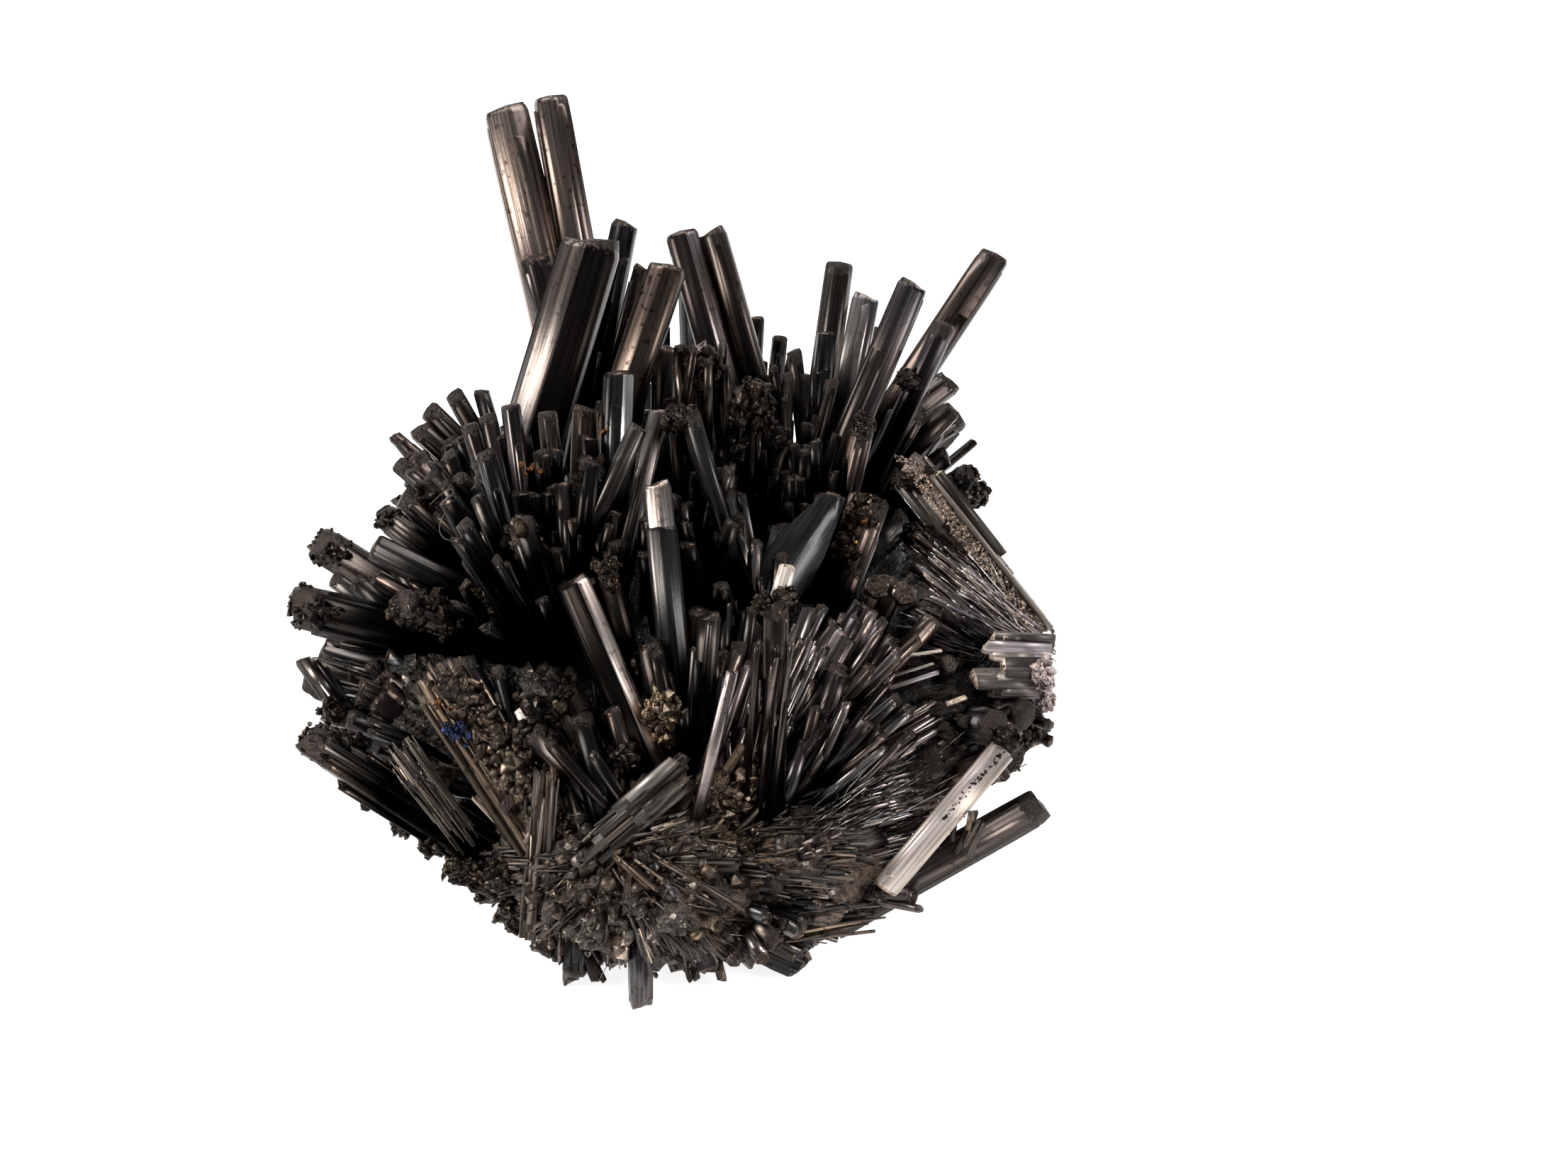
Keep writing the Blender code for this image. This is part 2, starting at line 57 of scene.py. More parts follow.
# ---------------------------------------------------------------- studio
# A white table under soft light: one large soft box on the left, a smaller one on the right
# and a long one above and behind. The camera looks down on the spray from in front.
MM = 0.001
table_mesh = bpy.data.meshes.new("table")
bm = bmesh.new()
bmesh.ops.create_grid(bm, x_segments=1, y_segments=1, size=2.0)
bm.to_mesh(table_mesh)
bm.free()
table = bpy.data.objects.new("table", table_mesh)
bpy.context.scene.collection.objects.link(table)
paper = bpy.data.materials.new("white_paper")
paper.use_nodes = True
for socket, value in (("Base Color", (0.62, 0.62, 0.62, 1)), ("Roughness", 0.9),
                      ("Specular IOR Level", 0.1), ("Emission Color", (1.0, 1.0, 1.0, 1)),
                      ("Emission Strength", 0.85)):
    paper.node_tree.nodes["Principled BSDF"].inputs[socket].default_value = value
table_mesh.materials.append(paper)


def aimed(spot, aim):
    """Where a light or a camera stands and how it turns to its aim, from millimetres."""
    toward = Vector(aim) - Vector(spot)
    turned = toward.to_track_quat("-Z", "Y").to_matrix().to_4x4()
    return Matrix.Translation(Vector(spot) * MM) @ turned


def soft_box(name, spot, aim, size, radiance, color):
    """A rectangular light at a spot, turned to what it aims at, all in millimetres."""
    lamp = bpy.data.lights.new(name, "AREA")
    lamp.shape = "RECTANGLE"
    lamp.size = size[0] * MM
    lamp.size_y = size[1] * MM
    lamp.energy = radiance * math.pi * lamp.size * lamp.size_y
    lamp.color = color
    holder = bpy.data.objects.new(name, lamp)
    bpy.context.scene.collection.objects.link(holder)
    holder.matrix_world = aimed(spot, aim)


soft_box("left_soft_box", (-420, -60, 330), (0, 0, 8), (260, 260), 16.0, (1.0, 0.96, 0.90))
soft_box("right_soft_box", (430, -120, 260), (0, 0, 8), (160, 220), 12.0, (1.0, 0.97, 0.94))
soft_box("back_soft_box", (0, 420, 420), (0, 0, 8), (520, 160), 6.0, (1.0, 0.98, 0.96))

world = bpy.data.worlds.new("studio")
bpy.context.scene.world = world
world.use_nodes = True
world.node_tree.nodes["Background"].inputs["Color"].default_value = (0.95, 0.97, 1.0, 1)
world.node_tree.nodes["Background"].inputs["Strength"].default_value = 0.25

CAMERA_AIM = (5.6, -4.1, 12.2)
CAMERA_SPOT = (5.6, -259.7, 204.8)
lens = bpy.data.cameras.new("camera")
lens.sensor_width = 36.0
lens.lens = 145.8
lens.clip_start = 0.01
camera = bpy.data.objects.new("camera", lens)
bpy.context.scene.collection.objects.link(camera)
camera.matrix_world = aimed(CAMERA_SPOT, CAMERA_AIM)
bpy.context.scene.camera = camera
bpy.context.scene.view_settings.view_transform = "Standard"
bpy.context.scene.view_settings.exposure = 0.0

# ---------------------------------------------------------------- back row of large crystals
# The tall twin and the pillars and spears of the back. Each large crystal is a striated six-sided
# metallic prism with thinner crystals grown along it, which end lower down and leave steps.
SPRAY_MIDDLE = np.array((-0.1, 23.05, 0.0))
FACING = np.array((0.0, -0.8, 0.6))
# How one crystal looks: brightness, partly its own tone and partly a painted highlight, brown tarnish,
# millimetres of crust at its end, painted highlights on its left and right faces, millimetres until
# painted shade hides it, and its turn.
Look = namedtuple("Look", "tone tarnish crust left right shown turn",
                  defaults=(0.5, 0.4, 5.0, -0.3))
# A form is one unit wide and this long; its end starts at the shoulder.
FORM_LENGTH = 10.0
SHOULDER = 9.0
# How far apart two crystals are taken out of one pattern, so that no two look alike.
PATTERN_ROOM = 300.0


def taken_from(form):
    """The places of a form's corners and the three corners of each of its faces."""
    form.verts.index_update()
    spots = np.array([vert.co for vert in form.verts])
    corners = np.array([[vert.index for vert in face.verts] for face in form.faces])
    form.free()
    return spots, corners


def in_order(spots, corners):
    """The same form with its corners and faces in an order that doesn't change between runs."""
    order = np.lexsort(spots.T.round(5))
    place = np.empty(len(order), int)
    place[order] = np.arange(len(order))
    corners = np.array([np.roll(face, -int(np.argmin(face))) for face in place[corners]])
    return spots[order], corners[np.lexsort(corners.T)]


def crystal_form(seed, strips, groove, rings, slant, ragged):
    """A six-sided crystal one unit wide and ten long, its sides in strips and its end bevelled."""
    rng = np.random.default_rng(seed)
    form = bmesh.new()
    bmesh.ops.create_circle(form, cap_ends=True, segments=6 * strips, radius=0.5)
    for number, vert in enumerate(form.verts):
        part = (number % strips) / strips
        flat = math.cos(math.pi / 6) / math.cos((part - 0.5) * math.pi / 3)
        if strips > 1 and part == 0:
            flat *= 0.97
        vert.co *= flat * (1.0 - groove * rng.random() ** 3)
    end = form.faces[:][0]
    height = 0.0
    breadth = 1.0
    for rise, wide in rings:
        grown = bmesh.ops.extrude_face_region(form, geom=[end])["geom"]
        edge = [item for item in grown if isinstance(item, bmesh.types.BMVert)]
        end = next(item for item in grown if isinstance(item, bmesh.types.BMFace))
        bmesh.ops.scale(form, vec=(wide / breadth, wide / breadth, 1.0), verts=edge)
        bmesh.ops.translate(form, vec=(0.0, 0.0, rise - height), verts=edge)
        height, breadth = rise, wide
    for vert in end.verts:
        vert.co.z += slant * vert.co.x + ragged * (rng.random() - 0.5)
    bmesh.ops.poke(form, faces=[end], offset=0.05)
    bmesh.ops.triangulate(form, faces=form.faces)
    bmesh.ops.recalc_face_normals(form, faces=form.faces)
    spots, corners = taken_from(form)
    spots[:, 2] -= max(spots[:, 2].max() - FORM_LENGTH, 0.0)
    return in_order(spots, corners)


ROUND_END = ((9.0, 0.99), (9.86, 0.97), (9.95, 0.91), (10.0, 0.80))
CUT_END = ((9.0, 0.98), (9.88, 0.95), (10.0, 0.72))
CLEAN_FORMS = [crystal_form(seed, 4, 0.035, ROUND_END, slant, 0.01)
               for seed, slant in enumerate((0.25, -0.2, 0.1, -0.3, 0.35, 0.0))]
PLAIN_FORMS = [crystal_form(20 + seed, 1 + seed % 2, 0.05, CUT_END, slant, 0.04)
               for seed, slant in enumerate((0.3, -0.25, 0.0, 0.4, -0.35, 0.15))]
SLIM_FORMS = [crystal_form(40 + seed, 1, 0.20, CUT_END, slant, 0.1)
              for seed, slant in enumerate((0.5, -0.4, 0.1, 0.8, -0.7, 0.3))]

LEAF_FORM = crystal_form(60, 1, 0.05, ((2.0, 1.0), (6.0, 1.12), (8.6, 1.0), (9.6, 0.65), (10.0, 0.4)),
                         0.3, 0.1)


def pick(forms, rng):
    """One of several forms, at random."""
    return forms[rng.integers(len(forms))]


def unit(vector):
    """A vector one unit long."""
    return vector / np.linalg.norm(vector)


def new_heap():
    """An empty heap of crystals: places, corners, and what the finish reads."""
    return {"spots": [], "corners": [], "grown": [], "crust": [], "lit": [], "finish": [],
            "count": 0}


def pile(heap, spots, corners, pattern, crust, lit, facets, tarnish, chance):
    """Adds one body to a heap: its mesh, and for each corner or face what the finish reads."""
    ones = np.ones(len(corners))
    heap["spots"].append(spots)
    heap["corners"].append(corners + heap["count"])
    heap["grown"].append(pattern)
    heap["crust"].append(crust * np.ones(len(spots)))
    heap["lit"].append(lit * np.ones(len(spots)))
    heap["finish"].append(np.stack((facets, tarnish * ones, chance * ones), 1))
    heap["count"] += len(spots)


def axes(along):
    """The directions across a crystal, to the right and away from the front of the spray."""
    across = unit(np.cross(along, FACING))
    return across, np.cross(along, across)


def lay(heap, form, tip, base, width, thickness, look, rng, turn=None, vary=0.5):
    """Adds one crystal to a heap."""
    spots, corners = form
    tip = np.asarray(tip, float)
    base = np.asarray(base, float)
    length = np.linalg.norm(tip - base)
    along = (tip - base) / length
    across, outward = axes(along)
    turn = look.turn + rng.normal(0.0, 0.08) if turn is None else turn
    turned = np.array((
        math.cos(turn) * across + math.sin(turn) * outward,
        math.cos(turn) * outward - math.sin(turn) * across,
        along,
    ))
    end = min(width, length / 3.0)
    local = np.empty_like(spots)
    local[:, 0] = spots[:, 0] * width
    local[:, 1] = spots[:, 1] * thickness
    shaft = spots[:, 2] / SHOULDER * (length - end)
    tipped = length - (FORM_LENGTH - spots[:, 2]) * end
    local[:, 2] = np.where(spots[:, 2] > SHOULDER, tipped, shaft)
    placed = base + local @ turned
    sides = placed[corners]
    normal = np.cross(sides[:, 1] - sides[:, 0], sides[:, 2] - sides[:, 0])
    normal /= np.linalg.norm(normal, axis=1)[:, None] + 1e-12
    facing = normal @ across
    side = np.rint(np.arctan2(normal @ turned[1], normal @ turned[0]) / math.tau * 6.0).astype(int)
    # Painted reflection: each of the six sides gets its own brightness, as if some mirrored the lamps,
    # and painted highlights brighten the sides turned to the left and right.
    shade = look.tone * np.exp(rng.normal(-0.1, vary, 6))[side % 6]
    shade *= 1.0 + look.left * np.clip(-facing - 0.25, 0, 1) + look.right * np.clip(facing - 0.25, 0, 1)
    # End faces: a real brown tarnish, painted lighter than the sides.
    ends = normal @ along > 0.3
    shade = np.where(ends, 0.3 * look.tone + rng.uniform(0.9, 1.6), shade)
    tarnish = np.where(ends, 1.2, look.tarnish)
    # Painted shade: lit falls from one at the tip to nothing at shown millimetres below it.
    below = length - local[:, 2]
    pattern = local + rng.uniform(0.0, PATTERN_ROOM, 3)
    pile(heap, placed, corners, pattern, look.crust - below, 1.0 - below / look.shown,
         shade, tarnish, rng.random())


def set_down(name, heap, material):
    """Turns a heap into one piece of the spray."""
    spots = (np.concatenate(heap["spots"]) - SPRAY_MIDDLE) * MM
    spots = np.clip(spots, cad_box[0], cad_box[1])
    corners = np.concatenate(heap["corners"])
    mesh = bpy.data.meshes.new(name)
    mesh.vertices.add(len(spots))
    mesh.vertices.foreach_set("co", spots.astype(np.float32).ravel())
    mesh.loops.add(corners.size)
    mesh.loops.foreach_set("vertex_index", corners.astype(np.int32).ravel())
    mesh.polygons.add(len(corners))
    mesh.polygons.foreach_set("loop_start", np.arange(0, corners.size, 3, dtype=np.int32))
    mesh.update(calc_edges=True)
    for key, kind, domain in (("grown", "FLOAT_VECTOR", "POINT"), ("crust", "FLOAT", "POINT"),
                              ("lit", "FLOAT", "POINT"), ("finish", "FLOAT_VECTOR", "FACE")):
        values = np.concatenate(heap[key]).astype(np.float32).ravel()
        field = "value" if kind == "FLOAT" else "vector"
        mesh.attributes.new(key, kind, domain).data.foreach_set(field, values)
    mesh.materials.append(material)
    piece = bpy.data.objects.new(name, mesh)
    bpy.context.scene.collection.objects.link(piece)
    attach(piece, "root")
    return piece


def node(tree, kind, inputs=None, **settings):
    """A shader node with its settings, its inputs being values or other nodes' outputs."""
    made = tree.nodes.new("ShaderNode" + kind)
    for key, value in settings.items():
        setattr(made, key, value)
    for key, value in (inputs or {}).items():
        if isinstance(value, bpy.types.NodeSocket):
            tree.links.new(value, made.inputs[key])
        else:
            made.inputs[key].default_value = value
    return made


def mixed(tree, factor, first, second):
    """A mix of two colours."""
    return node(tree, "Mix", {0: factor, 6: first, 7: second}, data_type="RGBA").outputs[2]


def reckon(tree, operation, first, second=0.0, third=0.0, clamp=False):
    """The result of one sum on numbers."""
    return node(tree, "Math", {0: first, 1: second, 2: third}, operation=operation,
                use_clamp=clamp).outputs[0]


def between(tree, value, low, high, bottom=0.0, top=1.0):
    """A value taken from one range to another and held inside it."""
    return node(tree, "MapRange", {"Value": value, "From Min": low, "From Max": high,
                                   "To Min": bottom, "To Max": top}).outputs["Result"]


def scaled(tree, vector, scale):
    """A colour or a vector made longer or shorter by a number."""
    return node(tree, "VectorMath", {0: vector, "Scale": scale}, operation="SCALE").outputs[0]


def stretched(tree, vector, scale):
    """A vector with each of its parts multiplied by its own number."""
    return node(tree, "VectorMath", {0: vector, 1: scale}, operation="MULTIPLY").outputs[0]


def speckle(tree, vector, scale, detail):
    """Noise of a size and a number of finer layers."""
    return node(tree, "TexNoise", {"Vector": vector, "Scale": scale, "Detail": detail}).outputs["Fac"]


def attribute(tree, name, output):
    """What the mesh holds under a name."""
    return node(tree, "Attribute", attribute_name=name).outputs[output]


def face_values(tree):
    """What each face holds: its tone, its tarnish and its own chance number."""
    parts = node(tree, "SeparateXYZ", {0: attribute(tree, "finish", "Vector")})
    return parts.outputs[0], parts.outputs[1], parts.outputs[2]


def new_finish(name):
    """A material, its node tree and its shader."""
    material = bpy.data.materials.new(name)
    material.use_nodes = True
    return material, material.node_tree, material.node_tree.nodes["Principled BSDF"]


def crystal_finish(name, steel, bronze, crusted, gloss, metallic=1.0):
    """Metal with grooves along each crystal, a patchy tarnish, a granular crust at its end, and painted
    shade that darkens it toward its foot.
    """
    material, tree, shader = new_finish(name)
    grown = attribute(tree, "grown", "Vector")
    tone, tarnish, chance = face_values(tree)
    drawn = stretched(tree, grown, (1.0, 1.0, 0.025))
    fine = speckle(tree, drawn, 8.5, 3.0)
    broad = speckle(tree, drawn, 3.6, 2.0)
    patch = speckle(tree, stretched(tree, grown, (0.6, 0.6, 0.3)), 1.0, 4.0)
    grain = speckle(tree, grown, 5.5, 4.0)
    browned = reckon(tree, "ADD", tarnish, reckon(tree, "MULTIPLY_ADD", patch, 1.2, -0.6), clamp=True)
    bluish = mixed(tree, between(tree, chance, 0.78, 0.82), steel,
                   (steel[0] * 0.92, steel[1] * 0.92, steel[2] * 1.08, 1))
    metal = mixed(tree, browned, bluish, bronze)
    stripes = between(tree, broad, 0.38, 0.62, 0.86, 1.15)
    hairlines = between(tree, fine, 0.38, 0.62, 0.68, 1.25)
    shade = reckon(tree, "MULTIPLY", tone, reckon(tree, "MULTIPLY", stripes, hairlines))
    # Painted shade: the colour and the crust darken toward each crystal's foot, deep inside the spray.
    deep = between(tree, attribute(tree, "lit", "Fac"), 0.08, 0.72, 0.02, 1.0)
    lit = scaled(tree, metal, reckon(tree, "MULTIPLY", shade, deep))
    pits = reckon(tree, "MULTIPLY", between(tree, speckle(tree, grown, 2.4, 3.0), 0.60, 0.66), browned)
    spotted = mixed(tree, reckon(tree, "MULTIPLY", pits, 0.75), lit, (0.012, 0.009, 0.008, 1))
    edge = reckon(tree, "MULTIPLY_ADD", grain, 1.6, -0.8)
    crusty = between(tree, reckon(tree, "ADD", attribute(tree, "crust", "Fac"), edge), -0.05, 0.2)
    rusty = scaled(tree, mixed(tree, grain, (0.012, 0.009, 0.008, 1), crusted), deep)
    tree.links.new(mixed(tree, crusty, spotted, rusty), shader.inputs["Base Color"])
    polish = reckon(tree, "MULTIPLY_ADD", fine, 0.16, gloss)
    rough = reckon(tree, "ADD", polish, reckon(tree, "MULTIPLY", crusty, 0.15), clamp=True)
    tree.links.new(rough, shader.inputs["Roughness"])
    tree.links.new(between(tree, crusty, 0.0, 1.0, metallic, 0.7 * metallic),
                   shader.inputs["Metallic"])
    relief = reckon(tree, "MULTIPLY_ADD", broad, 0.3, reckon(tree, "MULTIPLY", fine, 0.5))
    grooves = node(tree, "Bump", {"Height": relief, "Distance": 0.00002, "Strength": 1.0})
    lumps = reckon(tree, "MULTIPLY", grain, reckon(tree, "MULTIPLY_ADD", crusty, 1.0, 0.03))
    bumpy = node(tree, "Bump", {"Height": lumps, "Distance": 0.00012, "Strength": 1.0,
                                "Normal": grooves.outputs[0]})
    tree.links.new(bumpy.outputs[0], shader.inputs["Normal"])
    return material


stibnite = crystal_finish("striated_stibnite", (0.050, 0.050, 0.051, 1), (0.068, 0.051, 0.042, 1),
                          (0.055, 0.040, 0.034, 1), 0.22)
# A satin finish whose pale colour is a painted highlight on the faces that wear it.
satin_painted_sheen = crystal_finish("satin_faces_painted_sheen", (0.58, 0.51, 0.46, 1), (0.50, 0.40, 0.31, 1),
                       (0.055, 0.040, 0.034, 1), 0.30, 0.4)


def large_crystal(name, rows, ribs=3, stagger=0.45, form=None, finish=stibnite):
    """A large crystal of the solid model: a core for each row, with ribs grown along it."""
    rng = np.random.default_rng(sum(map(ord, name)))
    heap = new_heap()
    for tip, base, width, thickness, look in rows:
        tip, base = np.array(tip), np.array(base)
        along = unit(tip - base)
        across, outward = axes(along)
        core = form or pick(CLEAN_FORMS, rng)
        lay(heap, core, tip, base, width, thickness, look, rng, vary=0.15)
        tips.append((tip, along, width, thickness, look))
        for number in range(ribs):
            angle = (number + rng.uniform(0.2, 0.8)) / ribs * math.tau
            slim = rng.uniform(0.45, 0.78)
            aside = across * math.cos(angle) * width * (1.05 - slim) / 2
            aside += outward * math.sin(angle) * thickness * (1.05 - slim) / 2
            drop = max(np.linalg.norm(tip - base) * stagger * rng.random() ** 1.5, 0.25 * width)
            short = tip - along * drop
            dim = look._replace(tone=look.tone * rng.uniform(0.7, 1.3), crust=look.crust * 0.4,
                                shown=max(look.shown - drop, 1.5))
            lay(heap, pick(PLAIN_FORMS, rng), short + aside, base + aside, width * slim,
                thickness * slim, dim, rng, vary=0.35)
    piece = set_down(name.replace("_crystal", ""), heap, finish)
    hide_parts(name)


tips = []
large_crystal("tall_twin_crystal", [
    ((-9.1, 43.8, 25.1), (-4.8, 32.5, 10.2), 2.75, 1.9, Look(3.8, 0.8, 0.0, 0.2, 0.2, 60, 0.1)),
    ((-6.75, 44.0, 25.6), (-3.7, 33.8, 12.2), 2.05, 1.5, Look(2.6, 0.8, 0.0, -0.3, 0.8, 60, 0.3)),
    ((-7.5, 36.9, 20.3), (-5.6, 34.8, 13.0), 1.7, 1.4, Look(0.6, 0.5, 0.2, 0.5, 0.5, 12)),
], 3, 0.1)
large_crystal("great_pillar_crystal", [
    ((-4.1, 32.2, 24.8), (-9.7, 22.6, 9.1), 3.6, 2.4, Look(0.40, 0.5, 0.6, 18.0, 0.8, 24, -0.26)),
], 1, 0.3)
large_crystal("brown_pillar_crystal", [
    ((-0.3, 29.9, 24.5), (-6.0, 20.9, 10.0), 2.2, 1.8, Look(1.2, 1.1, 0.0, 4.0, 0.2, 17, -0.26)),
], 1)
large_crystal("twin_spear_crystal", [
    ((0.2, 33.7, 24.0), (4.1, 26.2, 12.3), 1.9, 1.4, Look(0.8, 0.6, 0.0, 0.0, 9.0, 14, 0.2)),
    ((1.7, 34.2, 23.8), (5.5, 26.9, 12.5), 1.8, 1.3, Look(1.5, 0.7, 0.1, -0.8, 0.6, 14, -0.3)),
], 2, 0.25)
large_crystal("capped_spear_crystal", [
    ((8.4, 35.3, 21.0), (6.6, 27.6, 10.7), 1.6, 1.3, Look(0.8, 0.5, 0.6, 3.0, 0.4, 11)),
], 2)
large_crystal("pale_blade_crystal", [
    ((9.8, 35.9, 18.6), (8.2, 30.9, 12.2), 1.7, 0.7, Look(5.0, 0.2, 0.0, 0.2, 0.2, 14)),
], 2)
large_crystal("striated_spear_crystal", [
    ((12.1, 29.5, 23.7), (4.8, 21.3, 8.4), 1.8, 1.4, Look(1.4, 0.5, 0.1, 1.0, 0.8, 15, -0.2)),
], 4)
large_crystal("long_right_spear_crystal", [
    ((16.5, 35.6, 21.3), (8.5, 28.4, 11.6), 1.8, 1.4, Look(0.7, 0.8, 0.3, 1.2, -0.3, 14, -0.26)),
], 3, 0.3)
large_crystal("upper_right_stub_crystal", [
    ((14.3, 34.1, 14.4), (8.5, 31.6, 10.7), 1.6, 1.3, Look(1.0, 0.5, 0.4, shown=6)),
])
large_crystal("middle_right_stub_crystal", [
    ((14.7, 34.7, 11.8), (8.0, 32.3, 8.4), 1.9, 1.5, Look(0.9, 0.5, 0.6, shown=6)),
])
large_crystal("round_right_stub_crystal", [
    ((15.6, 28.9, 11.9), (9.5, 26.8, 9.1), 2.1, 1.8, Look(0.6, 0.7, 1.8, 0.2, 0.2)),
])

# ---------------------------------------------------------------- middle of the spray
# The knob, slab and cleavage plate on the right, the crowded fan of capped crystals on the upper
# left, and the clean bright crystals that stand free in the middle.
large_crystal("granular_knob_crystal", [
    ((9.6, 24.6, 18.8), (7.4, 21.4, 9.4), 1.4, 1.3, Look(0.6, 0.9, 1.0, 0.4, 0.4, 6)),
])
large_crystal("right_slab_crystal", [
    ((11.5, 24.6, 16.0), (18.2, 19.6, 8.7), 2.3, 1.4, Look(0.2, 0.6, 0.0, 0.1, 0.1, 60)),
], 2, 0.15, finish=satin_painted_sheen)
large_crystal("cleavage_plate_crystal", [
    ((8.2, 20.2, 17.2), (3.6, 16.8, 11.2), 2.9, 0.7, Look(1.2, -0.4, 0.0, 0.2, 0.2, 14, 0.1)),
], 0, form=LEAF_FORM)
large_crystal("crusty_crystal", [
    ((10.2, 21.4, 16.0), (7.4, 18.0, 9.4), 1.7, 1.3, Look(1.4, 1.2, 1.2, 0.5, 0.5)),
], 5)
large_crystal("upper_left_cluster", [
    ((-9.4, 22.5, 20.5), (-6.9, 16.6, 11.4), 1.0, 1.0, Look(1.0, 0.4, 0.5, 0.6, 0.3, 5.5)),
    ((-10.3, 22.3, 20.0), (-7.0, 16.7, 11.1), 1.0, 0.9, Look(0.8, 0.6, 0.5, 0.6, 0.3, 5)),
    ((-8.2, 22.6, 21.0), (-6.7, 16.7, 11.3), 1.1, 1.0, Look(1.2, 0.4, 0.2, 1.6, 0.3, 6)),
    ((-9.4, 19.7, 20.3), (-6.8, 16.1, 11.2), 1.1, 1.1, Look(0.7, -0.2, 0.4, 0.8, 0.2, 6)),
], 2)
large_crystal("black_crystal", [
    ((-4.1, 19.8, 19.6), (-4.9, 15.8, 12.9), 1.3, 1.2, Look(0.4, 0.4, 0.3, 0.2, 0.2, 3.5)),
    ((-1.7, 20.6, 21.1), (-5.0, 17.0, 14.8), 1.1, 1.0, Look(1.6, 0.4, 0.1, 1.2, 0.6, 6)),
], 2)
large_crystal("stained_pair_crystal", [
    ((-6.4, 23.4, 20.0), (-5.3, 17.8, 10.9), 1.1, 1.1, Look(1.0, 0.8, 0.3, 0.4, 0.8)),
    ((-4.5, 24.2, 19.8), (-5.0, 18.1, 10.8), 1.4, 1.2, Look(1.0, 1.1, 0.3, 0.3, 0.8)),
], 2)
large_crystal("pale_faced_crystal", [
    ((-2.8, 24.8, 21.5), (-3.2, 19.2, 12.0), 1.8, 1.3, Look(0.8, -0.3, 0.0, -0.6, 30.0, 7, 0.4)),
], 2)
large_crystal("striped_crystal", [
    ((-0.7, 22.2, 21.0), (-3.2, 15.6, 12.3), 1.2, 1.1, Look(2.6, 0.35, 0.0, 0.6, 0.4, 8)),
], 4)
large_crystal("leaning_capped_crystal", [
    ((0.7, 21.3, 21.6), (3.5, 16.6, 13.5), 1.2, 1.1, Look(0.8, 0.2, 0.8, 0.5, 0.5, 9)),
], 1)
large_crystal("bright_middle_crystal", [
    ((-0.8, 17.5, 20.0), (0.7, 9.1, 6.5), 1.6, 1.35, Look(8.0, 0.5, 0.0, 0.5, -0.3, 12, 0.2)),
    ((-0.6, 16.4, 18.2), (0.7, 9.1, 6.5), 1.85, 1.6, Look(1.0, 0.1, 0.0, 4.0, 0.6, 10, 0.2)),
], 0)
large_crystal("bright_front_crystal", [
    ((-5.0, 13.4, 17.0), (0.0, 7.1, 6.8), 1.9, 1.6, Look(0.32, 0.6, 0.0, 0.5, 90.0, 18, 0.3)),
], 1, 0.3)
large_crystal("brown_capped_crystal", [
    ((-3.3, 15.0, 16.5), (-1.3, 11.6, 9.6), 1.1, 1.0, Look(0.6, 0.8, 0.8, 0.3, 0.3, 4)),
], 3)
large_crystal("thick_broken_crystal", [
    ((1.6, 25.8, 22.0), (1.5, 19.2, 12.9), 2.4, 1.8, Look(0.3, 0.9, 0.4, 0.3, 0.3, 5)),
], 6)
large_crystal("near_knob_crystal", [
    ((5.1, 7.9, 20.0), (4.9, 7.5, 6.7), 1.3, 1.1, Look(0.8, 0.6, 1.0, 0.5, 0.8, 13)),
], 6, 0.6)
large_crystal("double_knob_crystal", [
    ((10.9, 17.1, 14.0), (8.0, 18.9, 4.6), 1.8, 1.6, Look(0.8, 0.95, 0.3, 0.3, 0.3, 3)),
    ((10.2, 16.6, 14.1), (10.2, 17.9, 12.9), 1.5, 1.3, Look(1.4, 0.95, 0.0, 0.3, 0.3, 6)),
    ((11.5, 16.2, 14.0), (11.5, 17.5, 12.8), 1.4, 1.3, Look(1.2, 0.95, 0.0, 0.3, 0.3, 6)),
], 0)
large_crystal("bright_needle_crystal", [
    ((3.0, 8.6, 15.0), (0.9, 5.3, 6.8), 0.7, 0.6, Look(9.0, 0.6, 0.0, 0.4, 0.4, 9)),
], 1)
large_crystal("slanting_crystal", [
    ((13.1, 16.8, 12.0), (3.2, 10.0, 3.0), 1.2, 1.1, Look(2.2, 0.9, 0.2, 1.0, 0.3, 9)),
], 4)
large_crystal("striped_blade_crystal", [
    ((8.7, 14.3, 13.0), (3.2, 8.6, 5.4), 1.6, 0.9, Look(2.0, 0.5, 0.1, 0.8, 0.5, 8)),
], 4)

# ---------------------------------------------------------------- low crystals at the front
# Crystals that lean out low over the table on the right, one of them with a pale face that is a painted
# highlight, and the foot in front that stands on the table. All are grown into the root.
large_crystal("lower_right_crystal", [
    ((18.5, 10.3, 5.3), (8.0, 5.9, 1.3), 2.2, 1.4, Look(0.9, 0.6, 1.2, 0.3, 0.2, 40, 0.5)),
], 2, 0.2)
large_crystal("bright_diagonal_crystal", [
    ((10.4, 5.0, 4.0), (16.3, 10.5, 8.4), 1.6, 0.9, Look(1.35, 0.2, 0.0, 0.1, -0.9, 40, 0.0)),
], 1, 0.1, finish=satin_painted_sheen)
large_crystal("fibrous_blade_crystal", [
    ((10.4, 7.7, 6.0), (1.8, 5.5, 4.6), 3.1, 1.4, Look(0.5, 0.5, 0.0, 0.3, 0.3, 14)),
], 10, 0.7)
large_crystal("front_foot_crystal", [
    ((-1.5, 0.0, 0.55), (-1.6, 3.6, 3.8), 1.3, 1.0, Look(1.7, 0.3, 0.0, 1.6, 0.4, 9)),
], 6, 0.2)

